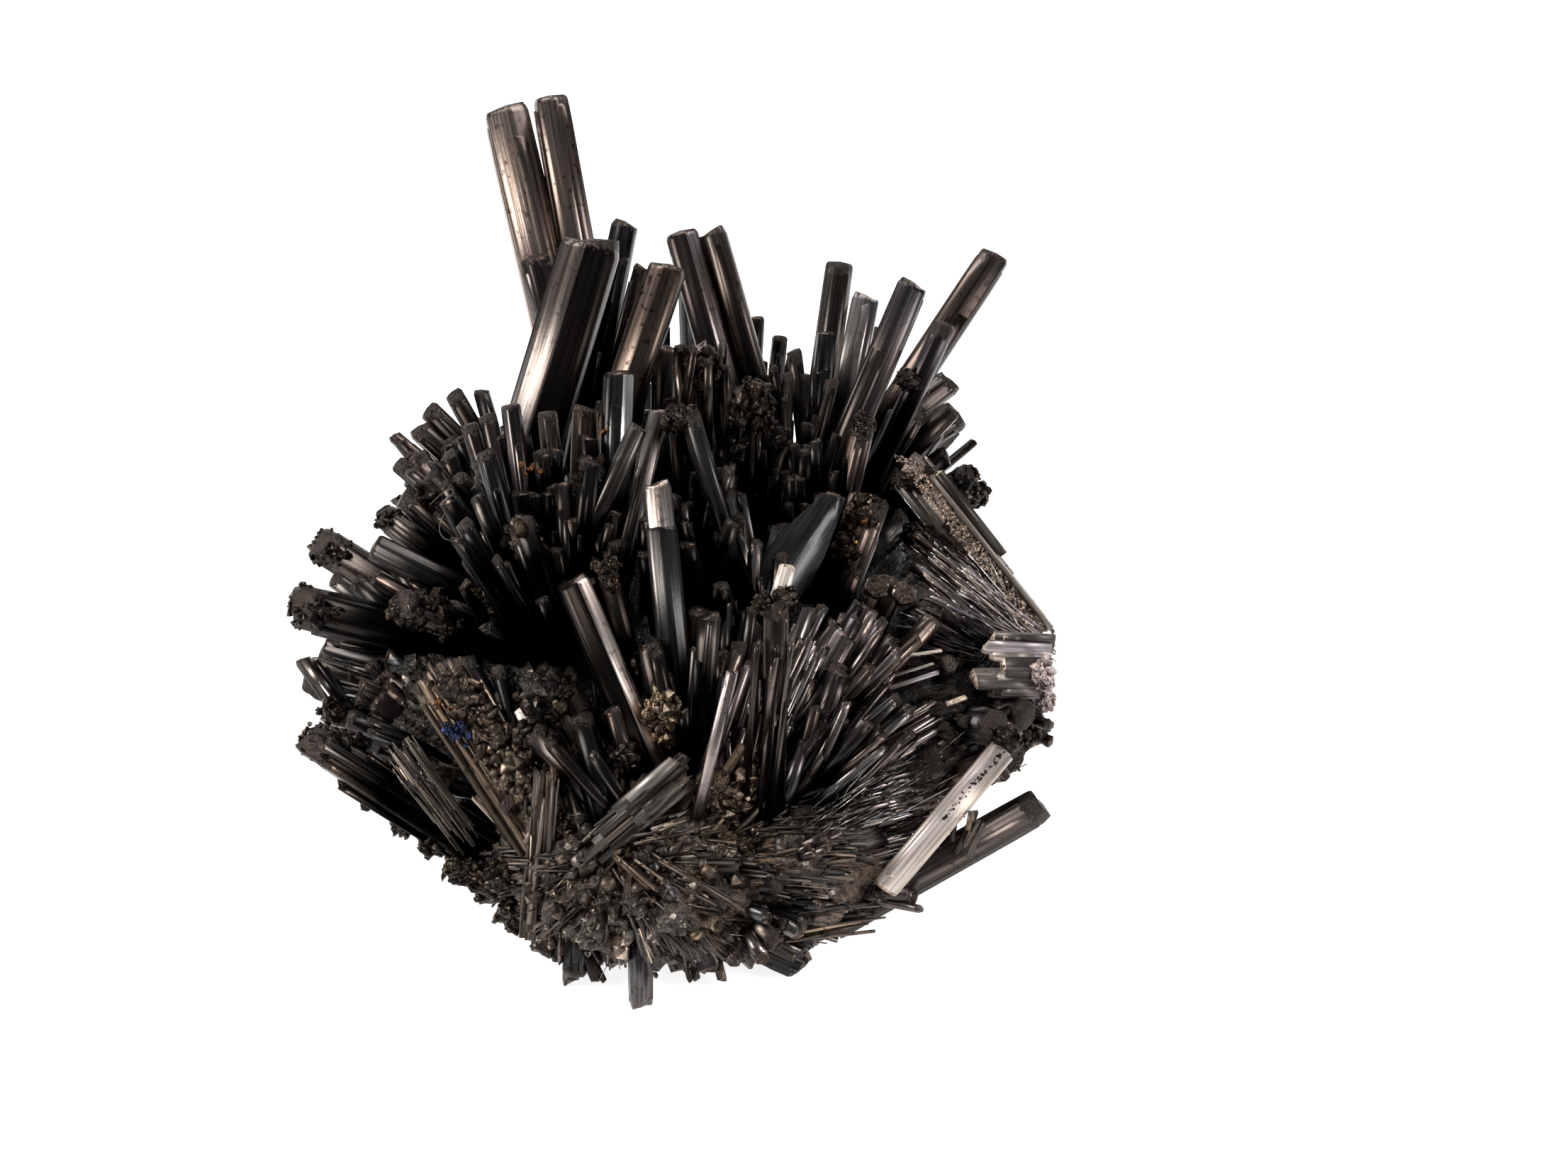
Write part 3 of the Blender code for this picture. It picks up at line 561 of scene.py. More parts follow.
# ---------------------------------------------------------------- left fan
# Crystals that reach out to the left, from the broad blades near the table to the clean ones
# above. Most are dark, and crusted at their ends.
large_crystal("long_brown_blade_crystal", [
    ((-11.9, 13.4, 11.5), (-4.1, 6.2, 2.2), 2.6, 1.3, Look(0.5, 0.75, 0.6, 1.0, 0.4, 20)),
], 2, 0.5)
large_crystal("lower_left_crystal", [
    ((-18.5, 11.7, 8.5), (-9.1, 8.3, 4.0), 2.0, 1.5, Look(0.7, 0.5, 1.6, 0.5, 0.4, 5, 0.3)),
], 3, 0.6)
large_crystal("left_broad_blade_crystal", [
    ((-18.8, 17.7, 7.8), (-8.4, 15.6, 5.0), 2.4, 0.9, Look(0.5, 0.3, 0.2, 0.3, 0.4, 5)),
], 5)
large_crystal("left_flat_blade_crystal", [
    ((-17.9, 17.5, 9.5), (-9.0, 15.9, 7.6), 1.5, 0.9, Look(1.0, 0.3, 0.1, 0.3, 0.8, 7)),
], 5)
large_crystal("upper_left_stub_crystal", [
    ((-15.0, 24.2, 13.0), (-11.6, 22.5, 10.9), 1.5, 1.3, Look(0.8, 0.6, 0.7, 0.3, 0.3)),
])
large_crystal("left_clean_crystal", [
    ((-15.2, 19.4, 14.5), (-9.0, 18.1, 11.5), 1.6, 1.4, Look(0.6, 0.3, 0.1, 0.5, 0.6, 7, 0.3)),
], 1)
large_crystal("left_round_crystal", [
    ((-18.3, 21.9, 13.0), (-9.0, 18.4, 8.3), 2.1, 1.4, Look(0.8, 0.6, 1.4, 0.3, 0.3, 8)),
])
large_crystal("far_left_crystal", [
    ((-19.3, 17.6, 12.2), (-10.6, 16.4, 10.4), 2.5, 1.8, Look(0.3, 0.4, 1.4, 0.3, 0.3, 6)),
])

# ---------------------------------------------------------------- small crystals
# Shorter crystals grown on the root, with thinner companions beside them that share their foot.
# They fill the room between the large ones with dark striated prisms and capped ends.
SMALL_CRYSTALS = {
    "back_row": [
        ((-1.9, 35.8, 20.5), (-4.5, 29.8, 12.2), 0.8, 0.7),
        ((-2.7, 37.5, 22.1), (-5.5, 29.3, 11.0), 1.6, 1.3),
        ((4.1, 34.4, 18.2), (3.6, 30.2, 11.6), 0.9, 0.8),
        ((5.3, 33.8, 17.4), (4.6, 29.8, 11.6), 0.9, 0.7),
        ((6.0, 30.3, 19.0), (7.0, 25.5, 11.4), 0.9, 0.7),
        ((4.9, 29.4, 18.0), (4.7, 24.0, 10.8), 0.7, 0.6),
        ((5.7, 28.9, 18.5), (5.5, 23.5, 11.3), 0.7, 0.6),
        ((6.6, 29.5, 18.0), (6.2, 24.1, 10.8), 0.7, 0.7),
        ((7.7, 32.6, 18.5), (6.7, 26.6, 10.6), 1.1, 0.9),
        ((8.0, 29.4, 17.8), (5.7, 24.2, 10.9), 0.8, 0.7),
        ((3.7, 27.6, 19.0), (2.7, 22.2, 11.9), 2.0, 1.6),
        ((2.7, 24.2, 18.0), (1.8, 20.6, 10.9), 1.8, 1.4),
        ((12.2, 32.8, 16.0), (8.6, 28.5, 10.3), 1.5, 1.3),
        ((13.8, 30.6, 20.4), (9.0, 25.9, 11.2), 1.3, 1.1),
        ((-1.8, 30.0, 19.8), (-3.2, 25.0, 12.0), 1.4, 1.2),
        ((-0.3, 29.0, 20.2), (-0.7, 24.5, 12.0), 1.6, 1.3),
    ],
    "upper_left": [
        ((-11.7, 32.2, 15.0), (-7.3, 27.5, 8.8), 1.1, 1.0),
        ((-10.2, 31.7, 15.5), (-7.7, 26.5, 8.6), 1.0, 0.9),
        ((-13.6, 31.9, 13.0), (-7.2, 28.1, 7.9), 1.5, 1.1),
        ((-13.1, 32.8, 13.5), (-6.7, 29.0, 8.4), 1.3, 1.0),
        ((-14.0, 29.4, 13.0), (-7.7, 26.5, 9.1), 1.1, 1.0),
        ((-14.4, 27.3, 14.0), (-8.3, 24.2, 9.9), 1.1, 1.0),
        ((-12.8, 24.7, 15.0), (-8.2, 21.5, 10.8), 1.4, 1.2),
        ((-13.4, 26.8, 14.2), (-8.6, 23.4, 9.5), 1.6, 1.3),
        ((-14.1, 25.5, 13.3), (-8.9, 22.6, 9.0), 1.5, 1.2),
        ((-10.5, 16.9, 18.0), (-6.2, 13.2, 11.4), 1.0, 0.8),
        ((-9.8, 18.3, 18.5), (-6.6, 14.2, 11.7), 0.9, 0.8),
        ((-7.6, 17.2, 18.0), (-5.2, 13.4, 11.8), 1.4, 1.2),
        ((-5.5, 19.4, 18.5), (-5.2, 15.6, 12.6), 1.0, 0.9),
    ],
    "left": [
        ((-16.6, 21.5, 12.0), (-10.1, 18.6, 8.2), 1.1, 0.9),
        ((-17.2, 16.9, 11.7), (-9.2, 16.3, 10.4), 1.0, 0.9),
        ((-15.2, 18.9, 13.0), (-9.0, 17.0, 9.9), 1.1, 0.9),
        ((-13.9, 16.3, 13.5), (-7.6, 15.6, 10.6), 1.8, 1.4),
        ((-17.7, 14.2, 8.0), (-9.9, 13.0, 6.5), 1.3, 0.9),
        ((-16.4, 13.1, 8.5), (-9.3, 12.0, 6.0), 1.2, 0.9),
        ((-14.0, 10.5, 5.0), (-8.7, 9.5, 3.2), 1.1, 0.9),
        ((-12.2, 9.7, 4.5), (-6.8, 8.1, 2.4), 0.7, 0.6),
        ((-10.7, 8.8, 4.0), (-6.7, 7.0, 1.6), 0.6, 0.5),
        ((-8.7, 6.7, 2.5), (-5.0, 5.8, 1.3), 0.6, 0.5),
    ],
    "front": [
        ((-6.5, 3.5, 1.0), (-5.1, 5.7, 4.0), 1.3, 1.1),
        ((-4.8, 2.2, 0.7), (-4.8, 4.6, 3.8), 1.2, 1.0),
        ((-3.7, 2.0, 0.6), (-5.3, 4.2, 3.4), 0.7, 0.6),
        ((1.8, 2.4, 0.8), (0.6, 4.7, 3.7), 1.5, 1.3),
        ((6.9, 4.0, 1.0), (2.4, 5.2, 2.6), 1.4, 1.1),
        ((7.3, 5.1, 2.5), (2.3, 5.0, 2.4), 1.2, 1.0),
        ((-10.6, 13.0, 12.5), (-5.6, 8.4, 5.2), 1.4, 1.1),
        ((-8.7, 11.6, 13.0), (-6.2, 6.9, 5.0), 0.8, 0.6),
        ((-5.6, 10.3, 13.0), (-1.9, 7.2, 6.2), 2.1, 1.7),
        ((-7.0, 9.2, 11.0), (-1.5, 5.7, 6.3), 1.7, 1.3),
        ((-4.5, 9.1, 12.0), (-2.8, 5.0, 6.6), 1.3, 0.9),
        ((-1.3, 12.2, 14.0), (0.6, 8.6, 6.6), 1.7, 1.4),
    ],
    "middle": [
        ((3.4, 12.2, 14.0), (0.6, 6.9, 6.4), 0.8, 0.7),
        ((4.4, 12.8, 13.5), (1.8, 7.6, 6.2), 0.9, 0.7),
        ((5.2, 12.7, 12.5), (1.4, 8.4, 6.2), 0.8, 0.6),
        ((8.3, 12.1, 12.5), (5.8, 9.0, 5.2), 1.4, 1.2),
        ((6.8, 14.4, 14.5), (2.8, 8.1, 5.8), 0.8, 0.5),
        ((8.0, 11.5, 11.0), (4.3, 8.6, 6.2), 1.5, 0.7),
        ((1.9, 12.0, 16.0), (1.0, 8.3, 6.4), 1.3, 1.2),
        ((2.5, 20.8, 17.0), (4.2, 17.8, 11.6), 1.2, 1.1),
        ((2.9, 20.3, 16.0), (3.3, 17.1, 10.9), 1.8, 1.4),
        ((5.4, 20.2, 15.5), (4.0, 16.6, 10.8), 1.4, 1.1),
        ((5.4, 18.4, 15.0), (4.9, 15.7, 9.7), 1.0, 0.7),
    ],
    "right": [
        ((18.7, 16.6, 6.6), (14.5, 16.6, 6.8), 1.4, 1.2),
        ((17.4, 15.9, 6.0), (13.5, 16.8, 7.0), 1.4, 1.2),
        ((17.7, 12.6, 9.0), (15.2, 16.4, 7.0), 1.8, 1.5),
        ((16.1, 11.2, 9.3), (13.6, 15.6, 6.4), 2.2, 1.8),
        ((13.3, 13.2, 8.5), (7.5, 11.9, 6.4), 1.8, 1.1),
        ((14.6, 15.0, 9.4), (17.6, 16.6, 8.4), 1.1, 0.8),
        ((13.6, 14.2, 7.6), (16.8, 16.0, 7.0), 1.2, 0.9),
        ((12.0, 20.1, 13.2), (17.6, 17.6, 8.6), 1.3, 0.9),
        ((13.4, 17.4, 11.8), (17.4, 17.0, 9.0), 0.9, 0.7),
    ],
    "hidden_back": [
        ((-10.0, 41.0, 5.0), (-4.0, 31.0, 5.0), 1.8, 1.4),
        ((-3.5, 45.6, 6.0), (-1.0, 32.0, 5.0), 2.0, 1.5),
        ((3.0, 46.2, 8.5), (2.0, 32.0, 6.5), 1.7, 1.4),
        ((9.0, 43.5, 6.0), (6.0, 31.0, 6.0), 1.9, 1.5),
        ((14.5, 39.0, 8.0), (8.0, 30.0, 6.5), 1.6, 1.3),
        ((-14.5, 36.5, 4.0), (-8.0, 29.0, 5.0), 1.7, 1.3),
        ((-17.5, 28.5, 5.0), (-9.5, 24.5, 5.5), 1.6, 1.2),
        ((16.0, 31.0, 2.8), (10.0, 26.5, 4.5), 1.7, 1.3),
        ((0.5, 43.0, 15.5), (1.0, 31.5, 10.0), 1.5, 1.2),
        ((11.5, 40.0, 14.0), (7.0, 31.5, 9.5), 1.4, 1.2),
        ((18.0, 25.5, 5.0), (12.0, 22.5, 5.5), 1.6, 1.3),
        ((-7.5, 44.0, 2.4), (-3.0, 31.0, 3.5), 1.5, 1.2),
        ((6.5, 44.5, 2.0), (4.0, 31.0, 3.5), 1.5, 1.2),
        ((-17.5, 26.0, 4.5), (-9.5, 22.0, 5.0), 1.4, 1.1),
        ((16.5, 22.5, 4.5), (10.5, 20.0, 5.5), 1.4, 1.1),
    ],
}


# How many millimetres below their tips the small crystals stay lit before painted shade darkens them,
# from and to.
LIT_LENGTHS = {"back_row": (3.5, 6.0), "upper_left": (2.2, 4.0), "left": (2.5, 4.5),
               "front": (6.0, 9.0), "middle": (4.5, 8.0), "right": (7.0, 9.0),
               "hidden_back": (14.0, 16.0)}
# The striated crystals in the middle are painted brighter than the rest, a painted sheen.
MIDDLE_PAINTED_SHEEN = 2.3


def companions(heap, row, look, count, rng, reach=(0.45, 0.92), spread=0.8):
    """Thinner crystals beside one crystal, from the same foot and ending lower."""
    tip, base, width, thickness = row
    tip, base = np.array(tip, float), np.array(base, float)
    for number in range(count):
        aside = rng.normal(0.0, spread * width * 0.6, 3)
        part = rng.uniform(*reach)
        end = base + (tip - base) * part + aside * 1.3
        slim = width * rng.uniform(0.35, 0.8)
        lost = (1.0 - part) * np.linalg.norm(tip - base)
        tinted = look._replace(tone=look.tone * rng.uniform(0.5, 1.5),
                               tarnish=look.tarnish + rng.uniform(-0.4, 0.4),
                               crust=look.crust * 0.5, shown=max(look.shown - 0.8 * lost, 1.0))
        lay(heap, pick(SLIM_FORMS, rng), end, base + aside * 0.5, slim,
            slim * rng.uniform(0.5, 0.95), tinted, rng, rng.uniform(0.0, math.tau))


for side, rows in SMALL_CRYSTALS.items():
    rng = np.random.default_rng(len(side) * 31 + len(rows))
    heap = new_heap()
    for row in rows:
        tip, base, width, thickness = row
        look = Look(rng.uniform(0.3, 0.85) * (MIDDLE_PAINTED_SHEEN if side == "middle" else 1.0),
                    rng.uniform(0.1, 0.9), rng.uniform(0.0, 0.8),
                    rng.uniform(0.2, 1.6), rng.uniform(0.1, 1.2), rng.uniform(*LIT_LENGTHS[side]),
                    rng.uniform(-0.5, 0.5))
        lay(heap, pick(PLAIN_FORMS, rng), tip, base, width, thickness, look, rng)
        along = unit(np.subtract(tip, base))
        tips.append((np.array(tip), along, width, thickness, look))
        for number in range(2):
            slim = width * rng.uniform(0.4, 0.65)
            aside = rng.normal(0.0, width * 0.22, 3)
            end = np.array(tip) - along * rng.uniform(0.3, 2.5)
            lay(heap, pick(SLIM_FORMS, rng), end + aside, np.array(base) + aside, slim,
                slim * 0.8, look._replace(tone=look.tone * rng.uniform(0.6, 1.5)), rng)
        companions(heap, row, look, 4, rng)
    set_down(side + "_crystals", heap, stibnite)

# Short crystals that crowd the room between the rows: how far they reach from left to right, where
# the rear and the front ones end, where they spring from, how many, how wide, how far lit before painted
# shade darkens them, and how bright, the brightest row with a painted sheen.
CROWDS = (
    ((-11.2, -3.2), (22.5, 19.3), (15.8, 15.4), (-4.5, 14.0, 6.0), 46, (0.6, 1.25), (1.0, 2.2), 0.38),
    ((4.4, 10.0), (25.5, 18.0), (21.5, 15.6), (5.5, 18.0, 6.0), 26, (0.5, 1.0), (1.0, 2.2), 0.38),
    ((-2.2, 3.6), (21.0, 19.0), (14.5, 15.4), (0.5, 13.0, 5.0), 20, (0.5, 1.1), (0.8, 1.8), 0.5),
    ((11.5, 15.0), (32.5, 14.2), (30.0, 12.0), (8.0, 27.0, 8.0), 10, (0.7, 1.4), (3.0, 5.0), 0.7),
    ((-17.2, -12.0), (20.5, 13.0), (13.5, 8.6), (-7.0, 14.0, 5.0), 22, (0.6, 1.3), (2.0, 3.5), 0.5),
    ((0.5, 12.5), (15.5, 13.8), (9.5, 9.6), (2.0, 7.0, 3.0), 90, (0.35, 0.95), (4.0, 8.0), 1.6),
    ((-14.5, -10.5), (30.0, 14.2), (24.5, 14.0), (-7.0, 25.0, 7.0), 22, (0.6, 1.2), (2.0, 4.0), 0.6),
)
rng = np.random.default_rng(77)
crowd = new_heap()
for span, rear, near, spring, count, widths, lit_lengths, bright in CROWDS:
    for number in range(count):
        part = rng.random()
        tip = np.array((rng.uniform(*span), rear[0] + (near[0] - rear[0]) * part,
                        rear[1] + (near[1] - rear[1]) * part)) + rng.normal(0.0, 0.35, 3)
        along = unit(tip - spring + rng.normal(0.0, 1.3, 3))
        width = rng.uniform(*widths)
        look = Look(bright * rng.uniform(0.3, 1.6), rng.uniform(0.0, 1.0), rng.uniform(0.0, 0.4),
                    rng.uniform(0.2, 1.5), rng.uniform(0.1, 1.2), rng.uniform(*lit_lengths),
                    rng.uniform(-0.5, 0.5))
        lay(crowd, pick(PLAIN_FORMS, rng), tip, tip - along * rng.uniform(3.5, 6.0), width,
            width * rng.uniform(0.6, 0.95), look, rng)
set_down("crowded_crystals", crowd, stibnite)

# ---------------------------------------------------------------- root mass
# The broken root that all crystals grow from: seven lumps run together and cut flat where they
# stand on the table, broken into blunt columns along the lines that the crystals follow.
LUMPS = {
    "front_lump": ((-1.0, 9.0, 3.4), (8.5, 7.4, 4.8), 32),
    "middle_lump": ((-1.0, 18.0, 6.0), (10.0, 7.6, 7.4), 12),
    "back_lump": ((1.0, 26.5, 6.0), (13.0, 8.4, 7.4), 22),
    "left_lump": ((-10.5, 17.5, 5.8), (7.0, 6.5, 5.0), 16),
    "right_lump": ((10.0, 15.5, 6.0), (7.5, 5.5, 4.5), 14),
    "right_corner_lump": ((16.7, 17.2, 7.7), (2.3, 3.2, 2.7), 4),
    "front_right_lump": ((5.5, 7.5, 3.6), (5.0, 4.2, 3.6), 12),
}
FOCUS = np.array((-1.0, 8.0, 1.0))
# Where the fibres of the broken front meet, just under its skin.
HEART = np.array((-2.4, 5.4, 5.6))
SIDE_LIMIT = 19.1

balls = bmesh.new()
for middle, radii, _ in LUMPS.values():
    ball = bmesh.ops.create_icosphere(balls, subdivisions=4, radius=1.0)["verts"]
    bmesh.ops.scale(balls, vec=[0.97 * size for size in radii], verts=ball)
    bmesh.ops.translate(balls, vec=middle, verts=ball)
ball_mesh = bpy.data.meshes.new("lumps")
balls.to_mesh(ball_mesh)
balls.free()
ball_object = bpy.data.objects.new("lumps", ball_mesh)
bpy.context.scene.collection.objects.link(ball_object)
remesh = ball_object.modifiers.new("one_skin", "REMESH")
remesh.mode = "VOXEL"
remesh.voxel_size = 0.26
graph = bpy.context.evaluated_depsgraph_get()
root_mesh = bpy.data.meshes.new_from_object(ball_object.evaluated_get(graph))
bpy.data.objects.remove(ball_object)
root_mesh.name = "rough_root"

spots = np.empty(len(root_mesh.vertices) * 3)
root_mesh.vertices.foreach_get("co", spots)
spots = spots.reshape(-1, 3)
skin_out = np.array([vert.normal for vert in root_mesh.vertices])
rays = spots - HEART
rays /= np.linalg.norm(rays, axis=1)[:, None]
rng = np.random.default_rng(12)
relief = np.zeros(len(spots))
for count, size in ((300, 0.42), (2000, 0.2)):
    heads = rng.normal(0.0, 1.0, (count, 3))
    heads /= np.linalg.norm(heads, axis=1)[:, None]
    nearest = kdtree.KDTree(count)
    for number, head in enumerate(heads):
        nearest.insert(head, number)
    nearest.balance()
    column = [nearest.find(ray)[1] for ray in rays]
    relief += rng.uniform(-size, size, count)[column]
relief += [0.45 * noise.noise(Vector(spot / 2.0)) for spot in spots]
skin_spots = spots + skin_out * (relief - 0.05)[:, None]
skin_spots[:, 0] = np.clip(skin_spots[:, 0], -SIDE_LIMIT, SIDE_LIMIT)
grounded = skin_spots.copy()
grounded[:, 2] = np.maximum(grounded[:, 2], 0.0)
root_mesh.vertices.foreach_set("co", ((grounded - SPRAY_MIDDLE) * MM).ravel())
root_mesh.attributes.new("relief", "FLOAT", "POINT").data.foreach_set(
    "value", relief.astype(np.float32))


def openness(spot):
    """How much light reaches a place on the root: little inside the spray."""
    inside = (np.clip((spot[..., 1] - 8.5) / 4.0, 0, 1) * np.clip((spot[..., 2] - 3.5) / 3.0, 0, 1)
              * np.clip((34.0 - spot[..., 1]) / 3.0, 0, 1))
    return 1.0 - 0.9 * inside


root_mesh.attributes.new("open", "FLOAT", "POINT").data.foreach_set(
    "value", openness(skin_spots).astype(np.float32))
root_mesh.update()

root_finish, tree, shader = new_finish("rough_root")
where = node(tree, "TexCoord").outputs["Object"]
spots_mm = node(tree, "VectorMath", {0: scaled(tree, where, 1000.0), 1: HEART - SPRAY_MIDDLE},
                operation="SUBTRACT").outputs[0]
ray = node(tree, "VectorMath", {0: spots_mm}, operation="NORMALIZE").outputs[0]
fibrous = node(tree, "VectorMath", {0: ray, 1: scaled(tree, spots_mm, 0.012)}, operation="ADD")
fibres = speckle(tree, fibrous.outputs[0], 42.0, 4.0)
patch = speckle(tree, spots_mm, 0.45, 4.0)
grain = speckle(tree, spots_mm, 4.5, 4.0)
cells = node(tree, "TexVoronoi", {"Vector": spots_mm, "Scale": 4.0})
chance = node(tree, "SeparateColor", {0: cells.outputs["Color"]}).outputs[0]
brown = mixed(tree, between(tree, patch, 0.44, 0.60), (0.098, 0.083, 0.073, 1), (0.130, 0.090, 0.062, 1))
# Painted glints: a few cells of the root get a pale colour.
brown_with_painted_glints = mixed(tree, between(tree, chance, 0.93, 0.97), brown, (0.55, 0.50, 0.42, 1))
# Painted shade: hollows of the relief and places inside the spray are darker.
painted_hollow_shade = between(tree, attribute(tree, "relief", "Fac"), -0.75, 0.25, 0.12, 1.15)
streaks = between(tree, fibres, 0.36, 0.64, 0.35, 1.5)
painted_hollow_shade = reckon(tree, "MULTIPLY", painted_hollow_shade, attribute(tree, "open", "Fac"))
shade = reckon(tree, "MULTIPLY", painted_hollow_shade, reckon(tree, "MULTIPLY", streaks, between(
    tree, grain, 0.35, 0.6, 0.6, 1.1)))
tree.links.new(scaled(tree, brown_with_painted_glints, shade), shader.inputs["Base Color"])
tree.links.new(between(tree, chance, 0.0, 1.0, 0.55, 0.25), shader.inputs["Roughness"])
shader.inputs["Metallic"].default_value = 0.55
height = reckon(tree, "ADD", fibres, reckon(tree, "MULTIPLY", grain, 0.7))
tree.links.new(node(tree, "Bump", {"Height": height, "Distance": 0.0002, "Strength": 1.0}).outputs[0],
               shader.inputs["Normal"])
root_mesh.materials.clear()
root_mesh.materials.append(root_finish)
root = bpy.data.objects.new("rough_root", root_mesh)
bpy.context.scene.collection.objects.link(root)
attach(root, "root")
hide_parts("root_mass")

# ---------------------------------------------------------------- broken stubs of the root
# Short broken crystals that stand out of the root all round, each with a few slivers beside it.
BRISTLE_REACH = 17.6
picks = random.Random(7)
stubs = new_heap()
rng = np.random.default_rng(7)
for middle, radii, count in LUMPS.values():
    for _ in range(count):
        angle = picks.uniform(0.0, math.tau)
        height = picks.uniform(-0.45, 0.85)
        reach = math.sqrt(1.0 - height * height)
        out = Vector((reach * math.cos(angle), reach * math.sin(angle), height))
        spot = Vector(middle) + Vector([a * b for a, b in zip(out, radii)])
        away = (0.5 * out + (spot - Vector(FOCUS)).normalized()).normalized()
        tip = spot + away * picks.uniform(0.8, 2.4)
        base = spot - away * 2.2
        if tip.z > 1.0 and abs(tip.x) < BRISTLE_REACH:
            width, thickness = picks.uniform(0.8, 1.8), picks.uniform(0.6, 1.0)
            if tip.x < -5.5 and tip.y < 6.5 and tip.z > 3.5:
                continue
            # Painted shade: stubs inside the spray are painted darker.
            in_painted_shade = (9.0 < tip.y < 33.0 and tip.z > 8.0) or (tip.x < -6.0 and tip.y < 12.0)
            look = Look(rng.uniform(0.3, 0.6) if in_painted_shade else rng.uniform(0.5, 1.4),
                        rng.uniform(0.2, 1.0), rng.uniform(0.0, 0.6), 0.5, 0.5, 7.0, 0.4)
            row = (tip, base, width, thickness)
            lay(stubs, pick(PLAIN_FORMS, rng), *row, look, rng)
            companions(stubs, row, look, 4, rng, (0.6, 0.98), 0.6)
set_down("broken_stubs", stubs, stibnite)

# ---------------------------------------------------------------- fibrous blades
# Bundles of splintery laths at the front and sides, where the root is broken across and shows how
# it grew, and single laths that lie flat on the root everywhere.
laths = new_heap()
rng = np.random.default_rng(91)


def bundle(heap, tip, base, width, thickness, count, slim, look, rng, forms=SLIM_FORMS):
    """Laths side by side in one thick blade, with uneven ends."""
    tip, base = np.array(tip), np.array(base)
    across, outward = axes(unit(tip - base))
    for number in range(count):
        side, deep = rng.uniform(-0.5, 0.5, 2)
        aside = across * side * width + outward * deep * thickness + rng.normal(0.0, 0.05, 3)
        start = base + (tip - base) * rng.uniform(-0.05, 0.55) + aside
        stop = base + (tip - base) * (1.0 - 0.4 * rng.random() ** 1.4) + aside
        stop = stop + rng.normal(0.0, 0.17, 3)
        wide = rng.uniform(*slim)
        tinted = look._replace(tone=look.tone * math.exp(rng.normal(0.0, 0.5)),
                               tarnish=look.tarnish + rng.uniform(-0.3, 0.3))
        lay(heap, pick(forms, rng), stop, start, wide, wide * rng.uniform(0.3, 0.7), tinted, rng,
            rng.uniform(0.0, math.pi))


